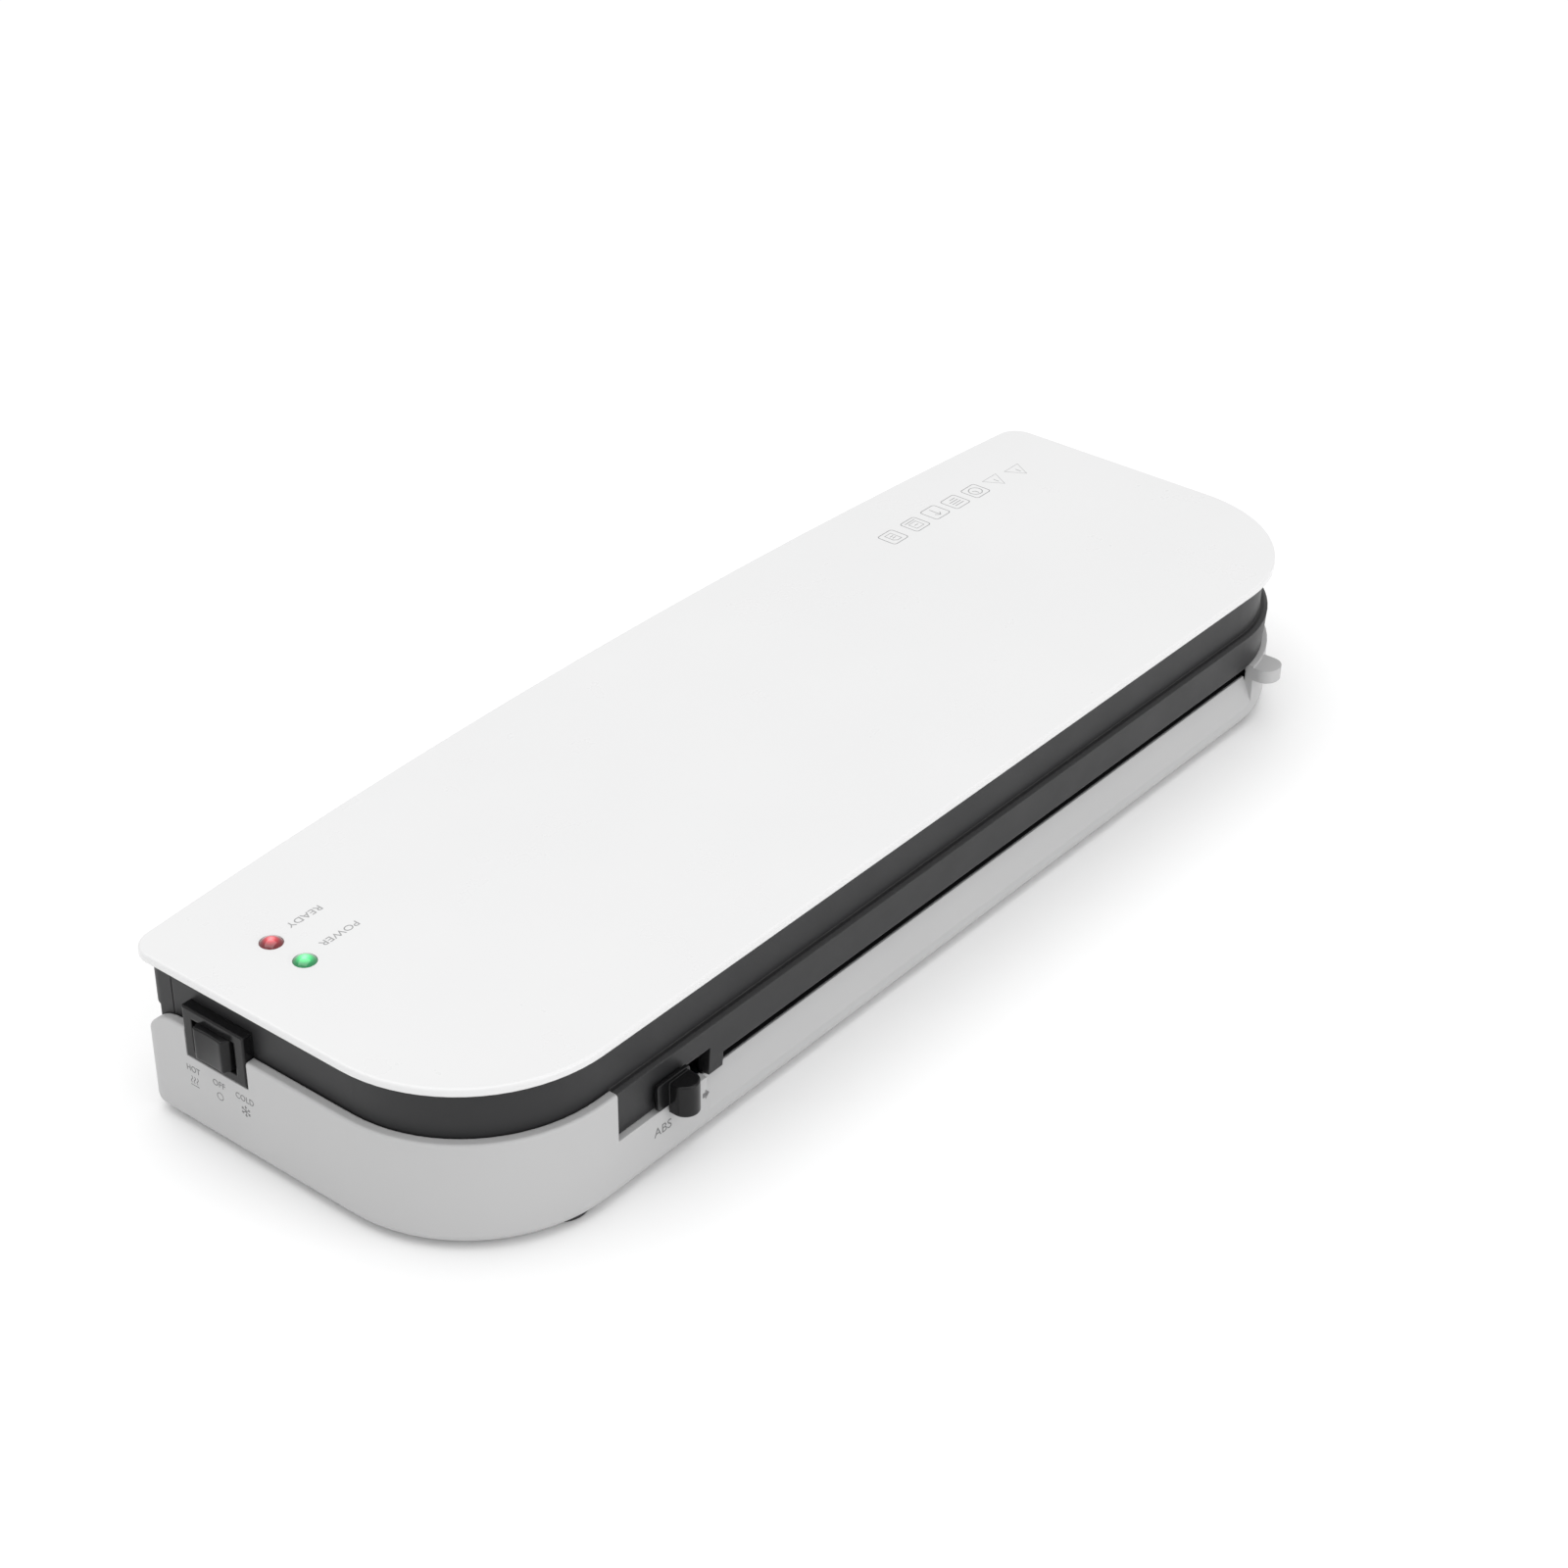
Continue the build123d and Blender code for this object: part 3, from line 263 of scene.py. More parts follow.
def buildBrushLines():
    # drawing or grinding lines that run along X
    group, entry, leave = startGroup(
        "brushLines",
        [("Lines per metre", 5200.0)],
        [("Height", "NodeSocketFloat"), ("Tone", "NodeSocketFloat")],
    )
    coords = group.nodes.new("ShaderNodeTexCoord").outputs["Object"]
    stretch = group.nodes.new("ShaderNodeMapping")
    stretch.inputs["Scale"].default_value = (brushSet["stretch"], 1.0, 1.0)
    group.links.new(coords, stretch.inputs["Vector"])
    count = entry.outputs["Lines per metre"]
    lines = noiseNode(group, stretch.outputs[0], count, brushSet["detail"], brushSet["break"])
    group.links.new(lines, leave.inputs["Height"])
    drift = noiseNode(group, coords, brushSet["drift"], brushSet["driftDetail"])
    group.links.new(drift, leave.inputs["Tone"])
    return group


groups = {
    "mouldGrain": buildMouldGrain(),
    "softCorner": buildSoftCorner(),
    "edgeWearAndHighlight": buildEdgeWearAndHighlight(),
    "handling": buildHandling(),
    "dust": buildDust(),
    "brushLines": buildBrushLines(),
}


def place(tree, groupName, **values):
    node = tree.nodes.new("ShaderNodeGroup")
    node.node_tree = groups[groupName]
    for label, value in values.items():
        node.inputs[label.replace("_", " ")].default_value = value
    return node


def blendColours(tree, mask, first, second):
    node = tree.nodes.new("ShaderNodeMix")
    node.data_type = "RGBA"
    tree.links.new(mask, node.inputs["Factor"])
    for label, value in (("A", first), ("B", second)):
        socket = next(s for s in node.inputs if s.name == label and s.type == "RGBA")
        if isinstance(value, (tuple, list)):
            socket.default_value = (*value, 1.0)
        else:
            tree.links.new(value, socket)
    return next(s for s in node.outputs if s.type == "RGBA")


# what a look has when it does not say otherwise, and how far past its corners its wear and painted edge highlight
# reach
usual = {"relief": "mouldGrain", "dust": 0.03, "metal": 0.0, "ior": 1.46, "coat": 0.0, "coatRough": 0.1}
wearAndHighlightReach = 1.6


def finishWith(name, ownLook):
    # one finish: colour that drifts, corners lightened partly by wear and partly by a painted highlight, dust,
    # uneven gloss and a fine relief
    look = {**usual, **ownLook}
    finish = bpy.data.materials.new(name)
    finish.use_nodes = True
    tree = finish.node_tree
    shader = tree.nodes["Principled BSDF"]
    relief = place(tree, look["relief"])
    relief.inputs[0].default_value = look["grain"]
    colour = blendColours(tree, relief.outputs["Tone"], look["colour"], look["second"])
    # corners lightened: partly wear, partly a painted highlight along every edge
    wearAndHighlight = place(tree, "edgeWearAndHighlight", Radius=look["corner"] * wearAndHighlightReach, Strength=look["wearAndHighlight"])
    colour = blendColours(tree, wearAndHighlight.outputs["Mask"], colour, look["wearAndHighlightColour"])
    dust = place(tree, "dust", Amount=look["dust"])
    colour = blendColours(tree, dust.outputs["Mask"], colour, dustSet["colour"])
    tree.links.new(colour, shader.inputs["Base Color"])
    touch = place(tree, "handling", Smooth=look["smooth"], Dull=look["dull"])
    tree.links.new(touch.outputs["Roughness"], shader.inputs["Roughness"])
    corner = place(tree, "softCorner", Radius=look["corner"])
    bump = tree.nodes.new("ShaderNodeBump")
    bump.inputs["Strength"].default_value = look["bump"]
    bump.inputs["Distance"].default_value = look["depth"]
    tree.links.new(relief.outputs["Height"], bump.inputs["Height"])
    tree.links.new(corner.outputs["Normal"], bump.inputs["Normal"])
    tree.links.new(bump.outputs["Normal"], shader.inputs["Normal"])
    shader.inputs["Metallic"].default_value = look["metal"]
    shader.inputs["IOR"].default_value = look["ior"]
    shader.inputs["Coat Weight"].default_value = look["coat"]
    shader.inputs["Coat Roughness"].default_value = look["coatRough"]
    return finish


# each look's lighter corner colour is partly wear and partly a painted edge highlight
looks = {
    "white_cover": {
        "colour": (0.7, 0.7, 0.703), "second": (0.735, 0.735, 0.735),
        "wearAndHighlightColour": (0.93, 0.93, 0.93), "wearAndHighlight": 1.2,
        "grain": 1500.0, "bump": 0.05, "depth": 0.00004, "smooth": 0.26, "dull": 0.34,
        "corner": 0.0004, "coat": 0.35, "coatRough": 0.12, "dust": 0.015,
    },
    "dark_housing": {
        "colour": (0.017, 0.017, 0.018), "second": (0.024, 0.024, 0.025),
        "wearAndHighlightColour": (0.11, 0.11, 0.11), "wearAndHighlight": 1.6,
        "grain": 2600.0, "bump": 0.25, "depth": 0.00004, "smooth": 0.4, "dull": 0.5,
        "corner": 0.0005, "dust": 0.015, "ior": 1.36,
    },
    "grey_base": {
        "colour": (0.44, 0.44, 0.444), "second": (0.48, 0.48, 0.48),
        "wearAndHighlightColour": (0.66, 0.66, 0.66), "wearAndHighlight": 1.2,
        "grain": 2200.0, "bump": 0.16, "depth": 0.00004, "smooth": 0.4, "dull": 0.5,
        "corner": 0.0005, "dust": 0.02,
    },
    "black_plastic": {
        "colour": (0.006, 0.006, 0.0065), "second": (0.01, 0.01, 0.0105),
        "wearAndHighlightColour": (0.07, 0.07, 0.07), "wearAndHighlight": 1.4,
        "grain": 2800.0, "bump": 0.12, "depth": 0.00003, "smooth": 0.16, "dull": 0.26,
        "corner": 0.0005, "dust": 0.005, "ior": 1.32,
    },
    "black_gloss": {
        "colour": (0.004, 0.004, 0.0045), "second": (0.007, 0.007, 0.0075),
        "wearAndHighlightColour": (0.06, 0.06, 0.06), "wearAndHighlight": 1.2,
        "grain": 1800.0, "bump": 0.05, "depth": 0.00002, "smooth": 0.14, "dull": 0.26,
        "corner": 0.0004, "ior": 1.36, "dust": 0.005,
    },
    "foot_rubber": {
        "colour": (0.02, 0.02, 0.02), "second": (0.035, 0.035, 0.034),
        "wearAndHighlightColour": (0.1, 0.1, 0.1), "wearAndHighlight": 0.8,
        "grain": 1700.0, "bump": 0.35, "depth": 0.00006, "smooth": 0.7, "dull": 0.85,
        "corner": 0.0004, "dust": 0.1,
    },
    "silicone": {
        "colour": (0.36, 0.085, 0.055), "second": (0.42, 0.11, 0.07),
        "wearAndHighlightColour": (0.5, 0.16, 0.1), "wearAndHighlight": 0.5,
        "grain": 900.0, "bump": 0.08, "depth": 0.00004, "smooth": 0.38, "dull": 0.55,
        "corner": 0.0004,
    },
    "zinc_steel": {
        "colour": (0.5, 0.51, 0.52), "second": (0.6, 0.6, 0.59),
        "wearAndHighlightColour": (0.72, 0.72, 0.72), "wearAndHighlight": 1.0,
        "grain": 4200.0, "relief": "brushLines", "bump": 0.15, "depth": 0.00002, "smooth": 0.28,
        "dull": 0.42, "corner": 0.0003, "metal": 1.0,
    },
    "ground_steel": {
        "colour": (0.62, 0.62, 0.63), "second": (0.7, 0.7, 0.7),
        "wearAndHighlightColour": (0.8, 0.8, 0.8), "wearAndHighlight": 0.6,
        "grain": 7000.0, "relief": "brushLines", "bump": 0.06, "depth": 0.00001, "smooth": 0.12,
        "dull": 0.22, "corner": 0.0002, "metal": 1.0,
    },
    "aluminium": {
        "colour": (0.66, 0.67, 0.68), "second": (0.74, 0.74, 0.75),
        "wearAndHighlightColour": (0.85, 0.85, 0.85), "wearAndHighlight": 0.8,
        "grain": 3600.0, "relief": "brushLines", "bump": 0.2, "depth": 0.00003, "smooth": 0.25,
        "dull": 0.38, "corner": 0.0003, "metal": 1.0,
    },
    "bronze": {
        "colour": (0.42, 0.27, 0.12), "second": (0.52, 0.34, 0.16),
        "wearAndHighlightColour": (0.7, 0.5, 0.28), "wearAndHighlight": 0.9,
        "grain": 2400.0, "bump": 0.3, "depth": 0.00003, "smooth": 0.35, "dull": 0.5,
        "corner": 0.0002, "metal": 1.0,
    },
    "brass_blade": {
        "colour": (0.66, 0.5, 0.22), "second": (0.74, 0.57, 0.27),
        "wearAndHighlightColour": (0.85, 0.7, 0.4), "wearAndHighlight": 0.7,
        "grain": 5000.0, "relief": "brushLines", "bump": 0.1, "depth": 0.00001, "smooth": 0.2,
        "dull": 0.35, "corner": 0.0002, "metal": 1.0,
    },
    "gear_nylon": {
        "colour": (0.7, 0.68, 0.6), "second": (0.78, 0.76, 0.7),
        "wearAndHighlightColour": (0.88, 0.87, 0.82), "wearAndHighlight": 0.6,
        "grain": 1900.0, "bump": 0.1, "depth": 0.00003, "smooth": 0.34, "dull": 0.46,
        "corner": 0.0002,
    },
    "film_amber": {
        "colour": (0.36, 0.15, 0.02), "second": (0.45, 0.2, 0.03),
        "wearAndHighlightColour": (0.55, 0.3, 0.08), "wearAndHighlight": 0.4,
        "grain": 700.0, "bump": 0.1, "depth": 0.00003, "smooth": 0.18, "dull": 0.3,
        "corner": 0.0002, "coat": 0.5,
    },
    "board_green": {
        "colour": (0.015, 0.12, 0.045), "second": (0.03, 0.19, 0.075),
        "wearAndHighlightColour": (0.3, 0.34, 0.2), "wearAndHighlight": 0.6,
        "grain": 1300.0, "bump": 0.2, "depth": 0.00003, "smooth": 0.22, "dull": 0.34,
        "corner": 0.0002, "coat": 0.4,
    },
    "print_pale": {
        "colour": (0.3, 0.3, 0.305), "second": (0.35, 0.35, 0.35),
        "wearAndHighlightColour": (0.42, 0.42, 0.42), "wearAndHighlight": 0.2,
        "grain": 3000.0, "bump": 0.1, "depth": 0.00001, "smooth": 0.5, "dull": 0.6,
        "corner": 0.00001, "dust": 0.0,
    },
    "print_grey": {
        "colour": (0.15, 0.15, 0.153), "second": (0.19, 0.19, 0.19),
        "wearAndHighlightColour": (0.3, 0.3, 0.3), "wearAndHighlight": 0.2,
        "grain": 3000.0, "bump": 0.1, "depth": 0.00001, "smooth": 0.5, "dull": 0.6,
        "corner": 0.00001, "dust": 0.0,
    },
}
finishes = {name: finishWith(name, look) for name, look in looks.items()}


lensLook = {"swirl": 900.0, "swirlDetail": 2.0, "uneven": 0.12, "rough": 0.08, "coat": 1.0, "coatRough": 0.03}


def lampFinish(name, lamp, centre):
    # a dyed lens glowing brightest over its diode, with a painted highlight spot at its middle and painted shade
    # darkening its rim where it sits in its hole
    finish = bpy.data.materials.new(name)
    finish.use_nodes = True
    tree = finish.node_tree
    shader = tree.nodes["Principled BSDF"]
    coords = tree.nodes.new("ShaderNodeTexCoord").outputs["Object"]
    split = tree.nodes.new("ShaderNodeSeparateXYZ")
    tree.links.new(coords, split.inputs[0])
    across = mathNode(tree, "SUBTRACT", split.outputs["X"], centre.x)
    along = mathNode(tree, "SUBTRACT", split.outputs["Y"], centre.y)
    squares = [mathNode(tree, "POWER", part, 2.0) for part in (across, along)]
    fromMiddle = mathNode(tree, "SQRT", mathNode(tree, "ADD", *squares))
    spread = tree.nodes.new("ShaderNodeMapRange")
    spread.interpolation_type = "SMOOTHSTEP"
    spread.inputs["From Min"].default_value = lamp["core"]
    spread.inputs["From Max"].default_value = lamp["rim"]
    tree.links.new(fromMiddle, spread.inputs["Value"])
    swirl = noiseNode(tree, coords, lensLook["swirl"], lensLook["swirlDetail"])
    uneven = mathNode(tree, "MULTIPLY", mathNode(tree, "SUBTRACT", swirl, 0.5), lensLook["uneven"])
    mixed = mathNode(tree, "ADD", spread.outputs[0], uneven)
    # base colour runs from the lit core out to painted shade at the rim
    tree.links.new(blendColours(tree, mixed, lamp["bright"], lamp["paintedRimShade"]), shader.inputs["Base Color"])
    # a painted highlight: a pale spot of glow at the lens's middle
    paintedHighlight = tree.nodes.new("ShaderNodeMapRange")
    paintedHighlight.interpolation_type = "SMOOTHSTEP"
    paintedHighlight.inputs["From Max"].default_value = lamp["paintedHighlight"]
    tree.links.new(fromMiddle, paintedHighlight.inputs["Value"])
    glow = blendColours(tree, mixed, lamp["glow"], lamp["paintedRimShade"])
    lit = blendColours(tree, paintedHighlight.outputs[0], lamp["paintedHighlightColour"], glow)
    tree.links.new(lit, shader.inputs["Emission Color"])
    shader.inputs["Emission Strength"].default_value = lamp["strength"]
    shader.inputs["Roughness"].default_value = lensLook["rough"]
    shader.inputs["Coat Weight"].default_value = lensLook["coat"]
    shader.inputs["Coat Roughness"].default_value = lensLook["coatRough"]
    return finish


# the pale spot colour near each lens's middle is a painted highlight; the darkest colour, at the rim, is painted
# shade
lamps = {
    "led_ready": {
        "slot": "red_lens", "name": "readyLens",
        "bright": (0.6, 0.03, 0.05), "glow": (0.62, 0.02, 0.04), "paintedRimShade": (0.1, 0.0, 0.003),
        "core": 0.0003, "rim": 0.0026, "paintedHighlight": 0.0013,
        "paintedHighlightColour": (1.5, 0.75, 0.75), "strength": 0.45,
    },
    "led_power": {
        "slot": "green_lens", "name": "powerLens",
        "bright": (0.08, 0.68, 0.22), "glow": (0.05, 0.75, 0.2), "paintedRimShade": (0.0, 0.14, 0.04),
        "core": 0.0006, "rim": 0.0027, "paintedHighlight": 0.0013,
        "paintedHighlightColour": (0.7, 1.4, 0.85), "strength": 0.5,
    },
}
for entry in frame["record"]["subparts"]:
    node = nodes[entry["node"]]
    if entry["material_slot"] in finishes:
        node.data.materials.clear()
        node.data.materials.append(finishes[entry["material_slot"]])
print("finishes placed:", len(finishes))


# dome lenses of the two lamps

# the crown is the part of a step that is left flat on top
lensShape = {
    "stemSides": 64, "domeSteps": 9, "domeHeight": 1.3 * mm, "crown": 0.6,
    "facingUp": 0.9, "smoothBelow": 40,
}


def makeLens(nodeName, lamp):
    low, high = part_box(nodeName)
    centre = (low + high) / 2
    radius = (high.x - low.x) / 2
    rounding = lensShape["domeHeight"]
    brow = high.z - rounding
    clearAll()
    bpy.ops.mesh.primitive_cylinder_add(
        vertices=lensShape["stemSides"], radius=radius, depth=brow - low.z,
        location=(centre.x, centre.y, (brow + low.z) / 2),
    )
    lens = bpy.context.object
    bpy.ops.object.transform_apply(location=True, rotation=True, scale=True)
    selectWhere(lens, lambda middle, normal: normal.z > lensShape["facingUp"])
    ballRadius = (radius ** 2 + rounding ** 2) / (2 * rounding)
    at = radius
    rise = 0.0
    for step in range(1, lensShape["domeSteps"] + 1):
        inner = radius * math.cos(math.radians(90.0 * step / (lensShape["domeSteps"] + lensShape["crown"])))
        lifted = math.sqrt(ballRadius ** 2 - inner ** 2) - (ballRadius - rounding)
        bpy.ops.mesh.inset(thickness=at - inner, depth=0.0)
        bpy.ops.transform.translate(value=(0, 0, lifted - rise))
        at, rise = inner, lifted
    bpy.ops.object.mode_set(mode="OBJECT")
    bpy.ops.object.shade_smooth_by_angle(angle=math.radians(lensShape["smoothBelow"]))
    settle(lens, lamp["name"])
    coat(lens, lampFinish(lamp["name"], lamp, centre), "housing")
    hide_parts(nodeName)


for nodeName, lamp in lamps.items():
    makeLens(nodeName, lamp)
print("lamp lenses made")


# rocker paddle with a hollow face and rounded corners

# stations are places along X and half widths there, in millimetres
rockerShape = {
    "crest": 9.0 * mm, "back": 4.0 * mm, "halfWide": 6.6 * mm, "halfTall": 4.6 * mm,
    "stations": [(-9.0, 4.8), (-6.4, 5.8), (-3.0, 6.6), (2.5, 5.0), (4.0, 1.5)],
    "dip": 0.5 * mm, "hollow": 3.6 * mm, "hollowSteps": 10,
    "round": 0.5 * mm, "roundSteps": 4, "roundAbove": 28, "smoothBelow": 35, "near": 1e-5,
}


def makeRocker():
    shape = rockerShape
    near = shape["near"]
    pivot = jointPlace["rocker_tilt"]
    middle = pivot + Vector(((shape["back"] - shape["crest"]) / 2, 0, 0))
    clearAll()
    bpy.ops.mesh.primitive_cube_add(size=1.0, location=middle)
    paddle = bpy.context.object
    paddle.scale = (shape["crest"] + shape["back"], 2 * shape["halfWide"], 2 * shape["halfTall"])
    bpy.ops.object.transform_apply(location=True, rotation=True, scale=True)
    # rings across the paddle, each drawn in to its own width
    for x, _ in shape["stations"][1:-1]:
        selectWhere(paddle, lambda centre, normal: True)
        bpy.ops.mesh.bisect(plane_co=pivot + Vector((x * mm, 0, 0)), plane_no=(1, 0, 0))
        bpy.ops.object.mode_set(mode="OBJECT")
    for x, half in shape["stations"]:
        selectWhere(paddle, lambda point, normal: abs(point.x - pivot.x - x * mm) < near, "VERT")
        bpy.ops.transform.resize(value=(1, half * mm / shape["halfWide"], 1), center_override=pivot)
        bpy.ops.object.mode_set(mode="OBJECT")
    # the shallow hollow across the face
    selectWhere(paddle, lambda centre, normal: True)
    bpy.ops.mesh.bisect(plane_co=pivot, plane_no=(0, 1, 0))
    frontX = pivot.x - shape["crest"]

    def isMidLine(centre, run):
        return abs(centre.x - frontX) < near and abs(centre.y - pivot.y) < near and abs(run.z) > 1 * mm

    selectWhere(paddle, isMidLine, "EDGE")
    bpy.ops.transform.translate(value=(shape["dip"], 0, 0))
    bpy.ops.mesh.bevel(
        offset=shape["hollow"], offset_type="OFFSET", segments=shape["hollowSteps"], profile=0.5
    )
    bpy.ops.object.mode_set(mode="OBJECT")
    applyModifier(
        paddle, "BEVEL", width=shape["round"], segments=shape["roundSteps"], limit_method="ANGLE",
        angle_limit=math.radians(shape["roundAbove"]), harden_normals=False,
    )
    pick(paddle)
    bpy.ops.object.shade_smooth_by_angle(angle=math.radians(shape["smoothBelow"]))
    settle(paddle, "rockerPaddle")
    coat(paddle, finishes["black_gloss"], "rocker")
    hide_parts("switch_rocker")


makeRocker()
print("rocker made")


# printed words and signs, a thin film of ink on the mouldings

ink = {"film": 0.08 * mm, "letter": 10 * mm, "letterSteps": 4, "spacing": 1.02, "merge": 1e-7}
faceTurns = {
    "cover": (0.0, 0.0, 180.0),
    "leftEnd": (90.0, 0.0, -90.0),
    "front": (90.0, 0.0, 0.0),
}


def onFace(thing, face, centre):
    # turns a flat piece drawn in XY to its face and puts its middle at the given place
    turn = faceTurns[face]
    thing.rotation_euler = [math.radians(angle) for angle in turn]
    thing.location = centre
    pick(thing)
    bpy.ops.object.transform_apply(location=True, rotation=True, scale=True)


def printWord(word, face, centre, width, tall):
    clearAll()
    bpy.ops.object.text_add(location=(0, 0, 0))
    thing = bpy.context.object
    thing.data.body = word
    thing.data.size = ink["letter"]
    thing.data.resolution_u = ink["letterSteps"]
    thing.data.space_character = ink["spacing"]
    thing.data.extrude = ink["film"] / 2
    bpy.ops.object.convert(target="MESH")
    bpy.ops.object.origin_set(type="ORIGIN_GEOMETRY", center="BOUNDS")
    size = thing.dimensions.copy()
    thing.location = (0, 0, 0)
    thing.scale = (width / size.x, tall / size.y, 1.0)
    bpy.ops.object.transform_apply(location=True, rotation=True, scale=True)
    bpy.ops.object.mode_set(mode="EDIT")
    bpy.ops.mesh.select_all(action="SELECT")
    bpy.ops.mesh.remove_doubles(threshold=ink["merge"])
    bpy.ops.object.mode_set(mode="OBJECT")
    onFace(thing, face, centre)
    return thing


def printStrokes(strokes, face, centre, thick):
    # strokes are lists of (x, y) in millimetres; a closed stroke starts with "loop"
    made = []
    for stroke in strokes:
        closed = stroke[0] == "loop"
        points = stroke[1:] if closed else stroke
        clearAll()
        bpy.ops.curve.primitive_nurbs_path_add(location=(0, 0, 0))
        thing = bpy.context.object
        curve = thing.data
        curve.splines.clear()
        spline = curve.splines.new("POLY")
        spline.points.add(len(points) - 1)
        for point, (x, y) in zip(spline.points, points):
            point.co = (x * mm, y * mm, 0.0, 1.0)
        spline.use_cyclic_u = closed
        curve.dimensions = "3D"
        curve.bevel_depth = thick / 2
        curve.bevel_resolution = 1
        curve.use_fill_caps = True
        bpy.ops.object.convert(target="MESH")
        thing.scale = (1.0, 1.0, ink["film"] / thick)
        bpy.ops.object.transform_apply(location=True, rotation=True, scale=True)
        made.append(thing)
    pick(*made)
    if len(made) > 1:
        bpy.ops.object.join()
    whole = bpy.context.object
    onFace(whole, face, centre)
    return whole


def arcPoints(x, y, radius, start, end, steps):
    turns = [math.radians(start + (end - start) * step / steps) for step in range(steps + 1)]
    return [(x + radius * math.cos(turn), y + radius * math.sin(turn)) for turn in turns]


def roundFrame(half, corner):
    # a square outline with round corners
    points = []
    for cx, cy, start in ((1, 1, 0), (-1, 1, 90), (-1, -1, 180), (1, -1, 270)):
        points += arcPoints(cx * (half - corner), cy * (half - corner), corner, start, start + 90, 4)
    return ["loop", *points]


# sizes of the three switch signs, as shares of a sign's size
heatShape = {
    "waves": (-0.34, 0.0, 0.34), "steps": 8, "sway": 0.1, "top": 0.5, "tall": 0.7,
    "base": 0.5, "under": 0.42,
}
flakeShape = {"arm": 0.52, "fork": 0.3, "twig": 0.18, "lean": 42}
ringShape = {"radius": 0.4, "turn": 345, "steps": 23}


def heatSign(size):
    shape = heatShape
    strokes = []
    for x in shape["waves"]:
        wave = []
        for step in range(shape["steps"] + 1):
            sway = shape["sway"] * math.sin(step * math.pi / 4)
            drop = shape["tall"] * step / shape["steps"]
            wave.append((size * (x + sway), size * (shape["top"] - drop)))
        strokes.append(wave)
    strokes.append([(side * shape["base"] * size, -shape["under"] * size) for side in (-1, 1)])
    return strokes


def flakeSign(size):
    arm, fork, twig = (flakeShape[part] * size for part in ("arm", "fork", "twig"))
    strokes = []
    for step in range(6):
        turn = math.radians(60 * step + 90)
        outX, outY = math.cos(turn), math.sin(turn)
        strokes.append([(0, 0), (arm * outX, arm * outY)])
        for side in (-1, 1):
            lean = turn + side * math.radians(flakeShape["lean"])
            twigEnd = (fork * outX + twig * math.cos(lean), fork * outY + twig * math.sin(lean))
            strokes.append([(fork * outX, fork * outY), twigEnd])
    return strokes


def ringSign(size):
    return [["loop", *arcPoints(0, 0, ringShape["radius"] * size, 0, ringShape["turn"], ringShape["steps"])]]


def printSet(name, pieces, inkName):
    pick(*pieces)
    bpy.ops.object.join()
    whole = settle(bpy.context.object, name)
    coat(whole, finishes[inkName], "housing")


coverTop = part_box("top_cover")[1].z
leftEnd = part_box("base_tray")[0].x
frontFace = coverCorner.y
switchY = jointPlace["rocker_tilt"].y
lampY = {name: (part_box(name)[0].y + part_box(name)[1].y) / 2 for name in lamps}

lampPrint = {"behind": 1.7 * mm, "tall": 2.1 * mm}
lampWords = {
    "READY": {"lamp": "led_ready", "x": 34.8 * mm, "width": 10.7 * mm},
    "POWER": {"lamp": "led_power", "x": 35.3 * mm, "width": 12.0 * mm},
}
coverPieces = []
for word, spot in lampWords.items():
    centre = (coverCorner.x + spot["x"], lampY[spot["lamp"]] + lampPrint["behind"], coverTop)
    coverPieces.append(printWord(word, "cover", centre, spot["width"], lampPrint["tall"]))

# plain signs for the pouch and its path along the back of the cover, without captions;
# their places are counted from the cover's corner, in millimetres
signs = {
    "half": 3.3, "corner": 0.9, "line": 0.3 * mm,
    "places": [
        (278.0, 98.3), (288.5, 98.1), (298.3, 98.1), (307.5, 97.5),
        (317.0, 97.0), (326.7, 96.3), (336.4, 95.1),
    ],
    "framed": {
        "sheet": [
            ["loop", (-1.4, -2.0), (1.4, -2.0), (1.4, 1.2), (0.5, 2.1), (-1.4, 2.1)],
            [(-0.7, 0.4), (0.7, 0.4)], [(-0.7, -0.6), (0.7, -0.6)],
        ],
        "pouch": [
            ["loop", (-1.7, -1.2), (1.7, -1.2), (1.7, 2.0), (-1.7, 2.0)],
            [(-2.3, -2.1), (2.3, -2.1)], [(-0.8, 0.4), (0.8, 0.4)],
        ],
        "arrow": [[(0, -2.2), (0, 2.0)], [(-1.2, 0.8), (0, 2.1), (1.2, 0.8)]],
        "lines": [
            [(-2.0, 1.6), (2.0, 1.6)], [(-2.0, 0.5), (2.0, 0.5)],
            [(-2.0, -0.6), (2.0, -0.6)], [(-2.0, -1.7), (0.6, -1.7)],
        ],
        "clock": [["loop", *arcPoints(0, 0, 2.1, 0, 340, 17)], [(0, 0), (0, 1.4)], [(0, 0), (0.9, -0.5)]],
    },
    "triangle": [["loop", (-3.4, -2.7), (3.4, -2.7), (0, 3.2)], [(0, -1.0), (0, 1.0)]],
}
edging = roundFrame(signs["half"], signs["corner"])
drawings = [[edging, *strokes] for strokes in signs["framed"].values()]
drawings += [signs["triangle"]] * (len(signs["places"]) - len(drawings))
for (x, y), strokes in zip(signs["places"], drawings):
    spot = (coverCorner.x + x * mm, coverCorner.y + y * mm, coverTop)
    coverPieces.append(printStrokes(strokes, "cover", spot, signs["line"]))
printSet("coverPrint", coverPieces, "print_pale")

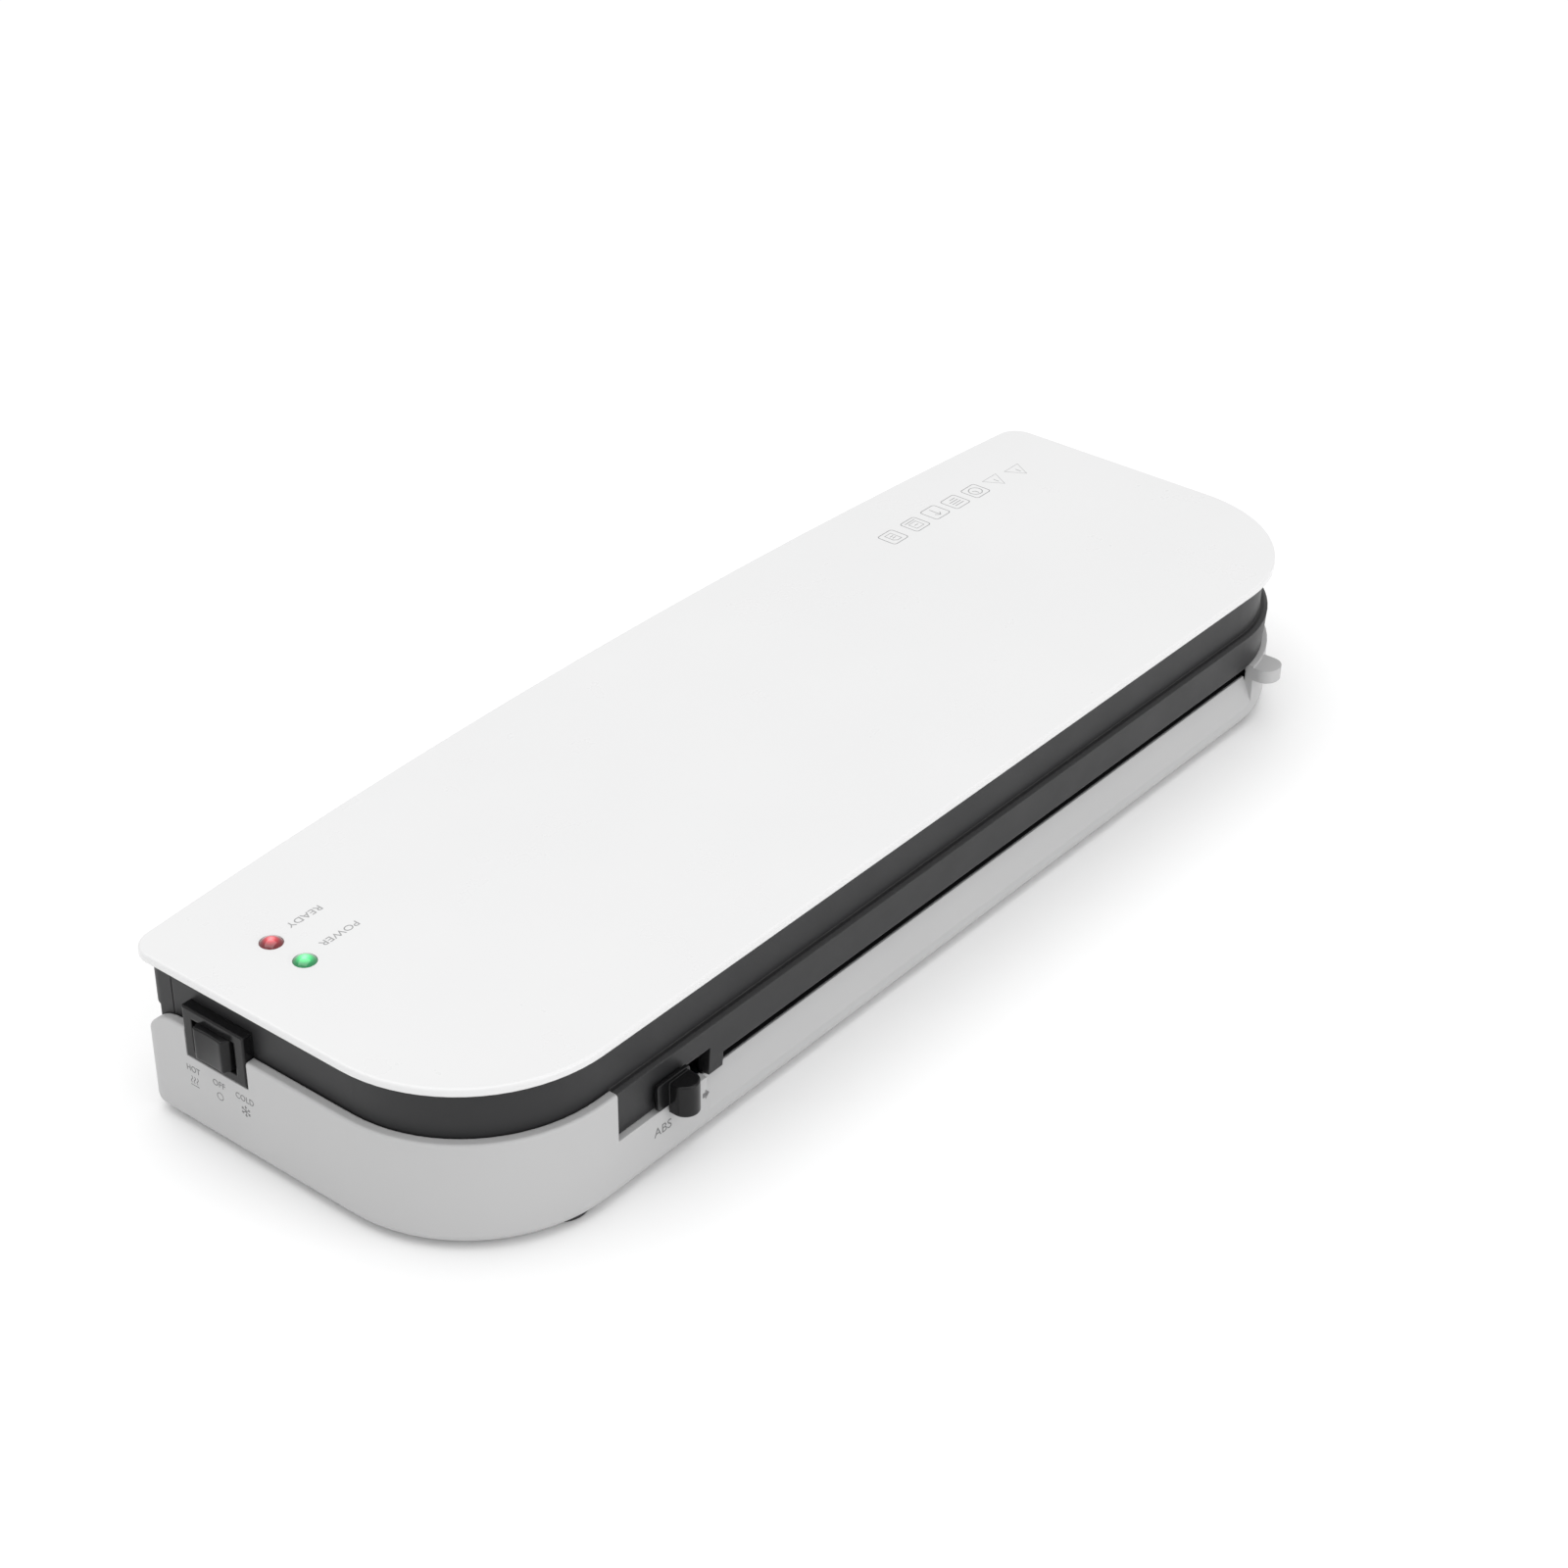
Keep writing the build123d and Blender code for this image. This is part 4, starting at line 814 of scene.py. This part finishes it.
# the words stand under the switch, each with its sign below it
switchWords = {
    "HOT": {"side": 8.9 * mm, "width": 4.6 * mm, "sign": heatSign(2.9)},
    "OFF": {"side": 0.0, "width": 4.2 * mm, "sign": ringSign(2.6)},
    "COLD": {"side": -8.9 * mm, "width": 6.2 * mm, "sign": flakeSign(3.2)},
}
switchPrint = {"wordDrop": 3.7 * mm, "signDrop": 7.4 * mm, "tall": 1.75 * mm, "line": 0.24 * mm}
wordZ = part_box("switch_body")[0].z - switchPrint["wordDrop"]
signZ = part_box("switch_body")[0].z - switchPrint["signDrop"]
basePieces = []
for word, spot in switchWords.items():
    y = switchY + spot["side"]
    basePieces.append(printWord(word, "leftEnd", (leftEnd, y, wordZ), spot["width"], switchPrint["tall"]))
    basePieces.append(printStrokes(spot["sign"], "leftEnd", (leftEnd, y, signZ), switchPrint["line"]))

# the slider's word, a double bar and an arrow along the front
sliderWord = {"word": "ABS", "x": 61.4 * mm, "z": 11.8 * mm, "width": 6.2 * mm, "tall": 2.6 * mm}
sliderSigns = {
    "bar": {
        "x": 74.5 * mm, "z": 12.7 * mm,
        "strokes": [[(-0.25, -1.2), (-0.25, 1.2)], [(0.25, -1.2), (0.25, 1.2)]],
    },
    "arrow": {
        "x": 77.0 * mm, "z": 12.4 * mm,
        "strokes": [
            ["loop", (-0.9, -0.5), (0.0, -0.5), (0.0, -1.2), (1.1, 0.0), (0.0, 1.2), (0.0, 0.5), (-0.9, 0.5)],
            [(-0.8, 0.0), (0.9, 0.0)], [(0.3, -0.6), (0.3, 0.6)],
        ],
    },
}
sliderLine = 0.55 * mm
wordSpot = (coverCorner.x + sliderWord["x"], frontFace, sliderWord["z"])
basePieces.append(printWord(sliderWord["word"], "front", wordSpot, sliderWord["width"], sliderWord["tall"]))
for sign in sliderSigns.values():
    spot = (coverCorner.x + sign["x"], frontFace, sign["z"])
    basePieces.append(printStrokes(sign["strokes"], "front", spot, sliderLine))
printSet("basePrint", basePieces, "print_grey")
print("print made")


# floor, light and camera

stageSet = {
    "floor": 6.0, "squares": 8, "colour": (0.93, 0.93, 0.93), "second": (0.95, 0.95, 0.95),
    "drift": 1.5, "driftDetail": 2.0, "rough": 0.9, "sheen": 0.1, "roomLight": 0.72,
}


def makeFloor():
    clearAll()
    squares = stageSet["squares"]
    bpy.ops.mesh.primitive_grid_add(
        x_subdivisions=squares, y_subdivisions=squares, size=stageSet["floor"], location=(0, 0, 0)
    )
    floor = settle(bpy.context.object, "paleFloor")
    finish = bpy.data.materials.new("paleFloor")
    finish.use_nodes = True
    tree = finish.node_tree
    shader = tree.nodes["Principled BSDF"]
    coords = tree.nodes.new("ShaderNodeTexCoord").outputs["Object"]
    drift = noiseNode(tree, coords, stageSet["drift"], stageSet["driftDetail"])
    colour = blendColours(tree, drift, stageSet["colour"], stageSet["second"])
    tree.links.new(colour, shader.inputs["Base Color"])
    shader.inputs["Roughness"].default_value = stageSet["rough"]
    shader.inputs["Specular IOR Level"].default_value = stageSet["sheen"]
    floor.data.materials.append(finish)


makeFloor()

lights = {
    "topSoft": {"at": (-0.1, 0.3, 1.5), "size": 1.8, "power": 13.0},
    "leftSoft": {"at": (-1.5, -0.1, 0.8), "size": 1.2, "power": 3.0},
    "frontSoft": {"at": (0.2, -1.5, 0.7), "size": 1.2, "power": 8.0},
}
for name, light in lights.items():
    clearAll()
    bpy.ops.object.light_add(type="AREA", location=light["at"])
    softLight = bpy.context.object
    softLight.name = name
    softLight.data.size = light["size"]
    softLight.data.energy = light["power"]
    # turned to the middle of the stage
    softLight.rotation_euler = (Vector((0, 0, 0)) - Vector(light["at"])).to_track_quat("-Z", "Y").to_euler()

world = bpy.data.worlds.new("paleRoom")
world.use_nodes = True
world.node_tree.nodes["Background"].inputs["Color"].default_value = (1.0, 1.0, 1.0, 1.0)
world.node_tree.nodes["Background"].inputs["Strength"].default_value = stageSet["roomLight"]
bpy.context.scene.world = world
bpy.context.scene.view_settings.view_transform = "Standard"

# the camera's place is counted from the cover's corner, its angles are in degrees
cameraSet = {
    "left": 0.36944, "before": 0.38405, "high": 0.4776,
    "tilt": 57.37, "heading": -51.08, "roll": 0.32,
    "lens": 71.6, "sensor": 36.0, "nearest": 0.01,
}
clearAll()
bpy.ops.object.camera_add(
    location=(coverCorner.x - cameraSet["left"], coverCorner.y - cameraSet["before"], cameraSet["high"])
)
camera = bpy.context.object
heading = Matrix.Rotation(math.radians(cameraSet["heading"]), 3, "Z")
tilt = Matrix.Rotation(math.radians(cameraSet["tilt"]), 3, "X")
roll = Matrix.Rotation(math.radians(cameraSet["roll"]), 3, "Z")
camera.rotation_euler = (heading @ tilt @ roll).to_euler()
camera.data.lens = cameraSet["lens"]
camera.data.sensor_width = cameraSet["sensor"]
camera.data.clip_start = cameraSet["nearest"]
bpy.context.scene.camera = camera
print("stage ready")
